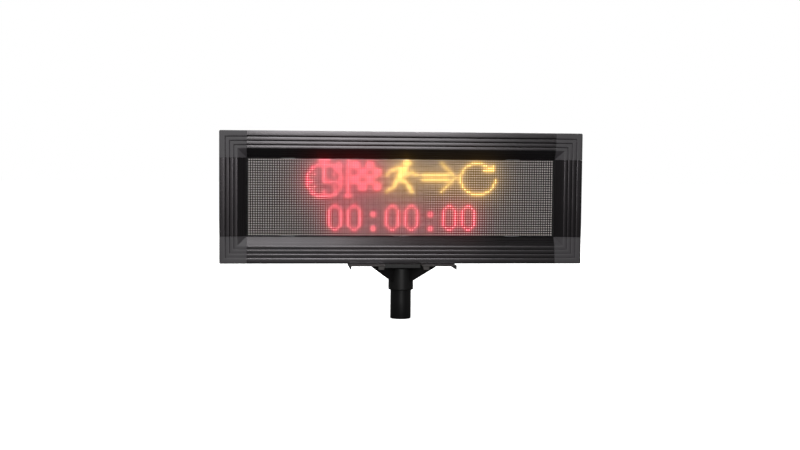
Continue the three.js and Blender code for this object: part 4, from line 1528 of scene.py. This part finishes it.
frame_plastic = moulded_plastic("frame_plastic", (0.022, 0.022, 0.023), 0.52, 0.0006, 0.00004)
socket_plastic = moulded_plastic("socket_plastic", (0.028, 0.028, 0.030), 0.40, 0.0004, 0.00002)
POWER_HALF_X = 8
POWER_BACK = 1
POWER_LOW = 20
POWER_HIGH = 32
RIBBON_OFFSET = 98
RIBBON_DROP = 40
RIBBON_HALF_X = 5
RIBBON_HALF_Z = 13
power_heights = (case_middle + POWER_LOW, case_middle + POWER_HIGH)
ribbon_middle = case_middle - RIBBON_DROP
ribbon_heights = (ribbon_middle - RIBBON_HALF_Z, ribbon_middle + RIBBON_HALF_Z)
for side in ("left", "right"):
    sheet_of_board(f"board_sheet_{side}", f"led_board_{side}", 0.15)
    low, high = box_mm(f"led_board_{side}")
    middle = (low.x + high.x) / 2
    board_back = low.y + BOARD_THICK
    ends = (middle - POWER_HALF_X, middle + POWER_HALF_X)
    sockets = [(*ends, board_back, POWER_BACK, *power_heights)]
    for x in (middle - RIBBON_OFFSET, middle + RIBBON_OFFSET):
        ends = (x - RIBBON_HALF_X, x + RIBBON_HALF_X)
        sockets.append((*ends, board_back, high.y, *ribbon_heights))
    name = f"board_sockets_{side}"
    bevelled(piece(name, boxes(name, sockets), socket_plastic, "head"), 0.5, 3)
keep(["module_frame_left", "module_frame_right"], frame_plastic)
keep(["module_bar_1", "module_bar_2", "module_bar_3"], zinc)


# ---- Electronics -------------------------------------------------------------------------------------
# A mains supply in a folded aluminium shell, a control card on two brass spacers, a grey ribbon
# between the modules and black leads. All of them lie behind the modules.
def ribbon_sheath(name, edge_wire):
    """Grey ribbon cable: a rounded ridge over each wire, with painted shade that darkens the grey in the
    grooves between them, and a red stripe on the edge wire, which lies below the given height in metres."""
    material, nodes, links = empty_material(name)
    place = nodes.new("ShaderNodeTexCoord")
    place.label = "place on the cable"
    wires = nodes.new("ShaderNodeTexWave")
    wires.label = "a ridge over each wire"
    wires.bands_direction = "Z"
    wires.inputs["Scale"].default_value = 247
    # Painted shade: the grey is darker in the grooves between the wires than on the ridges.
    tone = nodes.new("ShaderNodeValToRGB")
    tone.label = "darker between the wires"
    dark, light = tone.color_ramp.elements
    dark.color = (0.16, 0.17, 0.18, 1)
    light.position = 0.4
    light.color = (0.38, 0.39, 0.40, 1)
    split = nodes.new("ShaderNodeSeparateXYZ")
    split.label = "height on the cable"
    edge = nodes.new("ShaderNodeMath")
    edge.label = "edge wire"
    edge.operation = "LESS_THAN"
    edge.inputs[1].default_value = edge_wire
    stripe = nodes.new("ShaderNodeMix")
    stripe.label = "red stripe"
    stripe.data_type = "RGBA"
    stripe.inputs[7].default_value = (0.42, 0.02, 0.02, 1)
    relief = nodes.new("ShaderNodeBump")
    relief.label = "ridges' relief"
    relief.inputs["Distance"].default_value = 0.0002
    shader = nodes.new("ShaderNodeBsdfPrincipled")
    shader.label = "soft insulation"
    shader.inputs["Roughness"].default_value = 0.48
    output = nodes.new("ShaderNodeOutputMaterial")
    output.label = "finished cable"
    place_nodes([[place], [wires, split], [tone, edge], [stripe, relief], [shader], [output]])
    groups = {"wires": [wires, tone, relief], "edge wire": [split, edge, stripe]}
    for label, members in groups.items():
        box = nodes.new("NodeFrame")
        box.label = label
        for member in members:
            member.parent = box
    links.new(place.outputs["Object"], wires.inputs["Vector"])
    links.new(wires.outputs["Fac"], tone.inputs["Fac"])
    links.new(place.outputs["Object"], split.inputs["Vector"])
    links.new(split.outputs["Z"], edge.inputs[0])
    links.new(edge.outputs["Value"], stripe.inputs["Factor"])
    links.new(tone.outputs["Color"], stripe.inputs[6])
    links.new(stripe.outputs[2], shader.inputs["Base Color"])
    links.new(wires.outputs["Fac"], relief.inputs["Height"])
    links.new(relief.outputs["Normal"], shader.inputs["Normal"])
    links.new(shader.outputs["BSDF"], output.inputs["Surface"])
    return material


supply_metal = bare_metal("supply_metal", (0.72, 0.73, 0.74), 0.36, 0.0004, (0.02, 1, 1))
cable_sheath = moulded_plastic("cable_sheath", (0.012, 0.012, 0.012), 0.55, 0.0004, 0.00002)
keep(["power_supply"], supply_metal)
edge_wire_top = (box_mm("ribbon_cable_link")[0].z + 1.3) * MM
keep(["ribbon_cable_link"], ribbon_sheath("ribbon_grey", edge_wire_top))
keep(["supply_lead", "module_lead_left", "module_lead_right"], cable_sheath)
keep(["card_spacer_1", "card_spacer_2"], brass)

supply_low, supply_high = box_mm("power_supply")
strip_ends = (supply_high.x - 17.1, supply_high.x - 2.9)
strip_depths = (supply_low.y + 6.4, supply_high.y - 3.9)
strip_heights = (supply_low.z + 4.9, supply_high.z - 4.9)
strip_mesh = boxes("supply_terminals", [(*strip_ends, *strip_depths, *strip_heights)])
bevelled(piece("supply_terminals", strip_mesh, socket_plastic, "head"), 0.6, 3)
sheet_of_board("card_sheet", "control_card", 0.2)
card_low = box_mm("control_card")[0]
chip = (-12, 12, 4, 24, 48)
power_socket = (-58, -48, 8, 4, 30)
data_socket = (40, 60, 12, 6, 20)
ribbon_socket = (-20, 16, 11, 64, 73)
card_parts = []
for x0, x1, rise, z0, z1 in (chip, power_socket, data_socket, ribbon_socket):
    depths = (card_low.y + BOARD_THICK, card_low.y + rise)
    card_parts.append((x0, x1, *depths, card_low.z + z0, card_low.z + z1))
card_parts_mesh = boxes("card_parts", card_parts)
bevelled(piece("card_parts", card_parts_mesh, socket_plastic, "head"), 0.4, 3)


# ---- Rear cover ----------------------------------------------------------------------------------------
# Punched aluminium sheet in black powder coat, with two sets of slots for air. Six slotted
# pan-head screws hold it to the rails.
cover_coat = painted_metal("cover_coat", (0.030, 0.030, 0.031), 0.44, 0.0012, 0.00005, 0.06)
keep(["back_cover"], cover_coat)
cover_back = box_mm("back_cover")[1].y
SHANK = 1.8
SCREW_HEAD = 4.0
SLOT = (2.0, 0.55, 0.2)
ARC = 6


def fitting(name, node, rows, material, body):
    """A piece in place of a CAD node, swept through loops about the node's middle. A row is
    half the width, half the height, the corners' radius and the depth, or, where the loop
    is round, its radius and the depth. Gives back the middle's x and z."""
    low, high = box_mm(node)
    x0 = (low.x + high.x) / 2
    z0 = (low.z + high.z) / 2
    loops = []
    for *shape, depth in rows:
        half_x, half_z, corner = shape if len(shape) == 3 else shape * 3
        loop = []
        for quarter, (side_x, side_z) in enumerate(SQUARE):
            for k in range(ARC + 1):
                turn = math.radians(90 * (quarter + k / ARC))
                x = x0 + side_x * (half_x - corner) + corner * math.cos(turn)
                z = z0 + side_z * (half_z - corner) + corner * math.sin(turn)
                loop.append((x, depth, z))
        loops.append(loop)
    piece(name, swept(name, loops), material, body, [node])
    return x0, z0


for number in range(1, 7):
    node = f"cover_screw_{number}"
    screw_front, screw_back = (corner.y for corner in box_mm(node))
    screw_rows = [
        (SHANK, screw_front),
        (SHANK, cover_back + 0.3),
        (SCREW_HEAD - 0.1, cover_back + 0.3),
        (SCREW_HEAD, cover_back + 0.5),
        (SCREW_HEAD - 0.1, cover_back + 1.3),
        (SCREW_HEAD - 0.7, cover_back + 2.0),
        (SCREW_HEAD - 1.7, screw_back),
        (*SLOT, screw_back),
        (*SLOT, screw_back - 1.1),
    ]
    fitting(f"{node}_turned", node, screw_rows, zinc, "head")


# ---- Rear fittings ---------------------------------------------------------------------------------------
# Black mouldings snapped into the cover: a mains inlet with three plated pins, a rocker switch,
# a data jack with eight contacts, and a test button in a round bush.
fitting_plastic = moulded_plastic("fitting_plastic", (0.014, 0.014, 0.015), 0.38, 0.0005, 0.00002)
rocker_plastic = moulded_plastic("rocker_plastic", (0.020, 0.020, 0.021), 0.28, 0.0004, 0.00001)
pin_metal = bare_metal("pin_metal", (0.75, 0.74, 0.70), 0.25, 0.0003, (1, 0.1, 1))
flange_front = cover_back + 0.3

inlet_rows = [
    (13.6, 10, 1.5, 14),
    (13.6, 10, 1.5, flange_front),
    (24, 13, 3, flange_front),
    (24, 13, 3, cover_back + 2.4),
    (23.4, 12.4, 2.6, cover_back + 3),
    (12.1, 8.2, 2.0, cover_back + 3),
    (11.5, 7.6, 1.8, cover_back + 2.4),
    (11.5, 7.6, 1.8, 20),
]
x, z = fitting("inlet_body", "power_inlet", inlet_rows, fitting_plastic, "head")
PIN_HALF_X = 1
PIN_HALF_Z = 2
PIN_DEPTHS = (19.5, 31)
PIN_PLACES = ((-7, -2), (0, 2), (7, -2))
pins = []
for pin_x, pin_z in PIN_PLACES:
    sides = (x + pin_x - PIN_HALF_X, x + pin_x + PIN_HALF_X)
    pins.append((*sides, *PIN_DEPTHS, z + pin_z - PIN_HALF_Z, z + pin_z + PIN_HALF_Z))
pins_mesh = boxes("inlet_pins", pins)
bevelled(piece("inlet_pins", pins_mesh, pin_metal, "head"), 0.4, 3)

switch_rows = [
    (7.6, 11.1, 1, 20),
    (7.6, 11.1, 1, flange_front),
    (10.5, 14, 1.6, flange_front),
    (10.5, 14, 1.6, cover_back + 1.5),
    (10, 13.5, 1.4, cover_back + 2),
    (6.8, 10.4, 0.6, cover_back + 2),
    (6.4, 10, 0.5, cover_back + 1.6),
    (6.4, 10, 0.5, 27),
]
x, z = fitting("switch_bezel", "switch_housing", switch_rows, fitting_plastic, "head")
ROCKER_PIVOT = 34.0
ROCKER_TILT = 8.0
ROCKER_HALF = 5.8
rocker_outline = [
    (0.1, -8.8),
    (3.4, -8.8),
    (2.85, -4.4),
    (2.6, 0),
    (2.85, 4.4),
    (3.4, 8.8),
    (0.1, 8.8),
    (-2.6, 1.2),
    (-2.6, -1.2),
]
rocker_mesh = prism("rocker_cap", rocker_outline, across, -ROCKER_HALF, ROCKER_HALF)
rocker_place = Matrix.Translation((x * MM, ROCKER_PIVOT * MM, z * MM))
rocker_mesh.transform(rocker_place @ Matrix.Rotation(math.radians(-ROCKER_TILT), 4, "X"))
rocker = piece("rocker_cap", rocker_mesh, rocker_plastic, "rocker", ["switch_rocker"])
bevelled(rocker, 0.35, 3)

jack_rows = [
    (8.6, 8.6, 0.8, 16),
    (8.6, 8.6, 0.8, cover_back + 0.9),
    (8.3, 8.3, 0.7, cover_back + 1.2),
    (6.3, 5.3, 0.5, cover_back + 1.2),
    (6, 5, 0.4, cover_back + 0.9),
    (6, 5, 0.4, 22),
]
x, z = fitting("jack_body", "data_jack", jack_rows, fitting_plastic, "head")
CONTACT_PITCH = 1.27
CONTACT_HALF = 0.25
CONTACT_DEPTHS = (22.5, 33)
contacts = []
for k in range(8):
    contact_x = x + (k - 3.5) * CONTACT_PITCH
    sides = (contact_x - CONTACT_HALF, contact_x + CONTACT_HALF)
    contacts.append((*sides, *CONTACT_DEPTHS, z + 3.6, z + 4.1))
piece("jack_contacts", boxes("jack_contacts", contacts), brass, "head")

bush_rows = [
    (6.2, 24),
    (6.2, flange_front),
    (8.5, flange_front),
    (8.5, cover_back + 1.2),
    (8.0, cover_back + 1.8),
    (4.8, cover_back + 1.8),
    (4.4, cover_back + 1.4),
    (4.4, 28),
]
fitting("button_bush", "button_housing", bush_rows, fitting_plastic, "head")
button_back = box_mm("test_button")[1].y
button_rows = [
    (3.9, 31),
    (3.9, button_back - 0.8),
    (3.6, button_back - 0.2),
    (3.0, button_back),
    (1.5, button_back - 0.35),
]
fitting("button_plunger", "test_button", button_rows, rocker_plastic, "test_button")
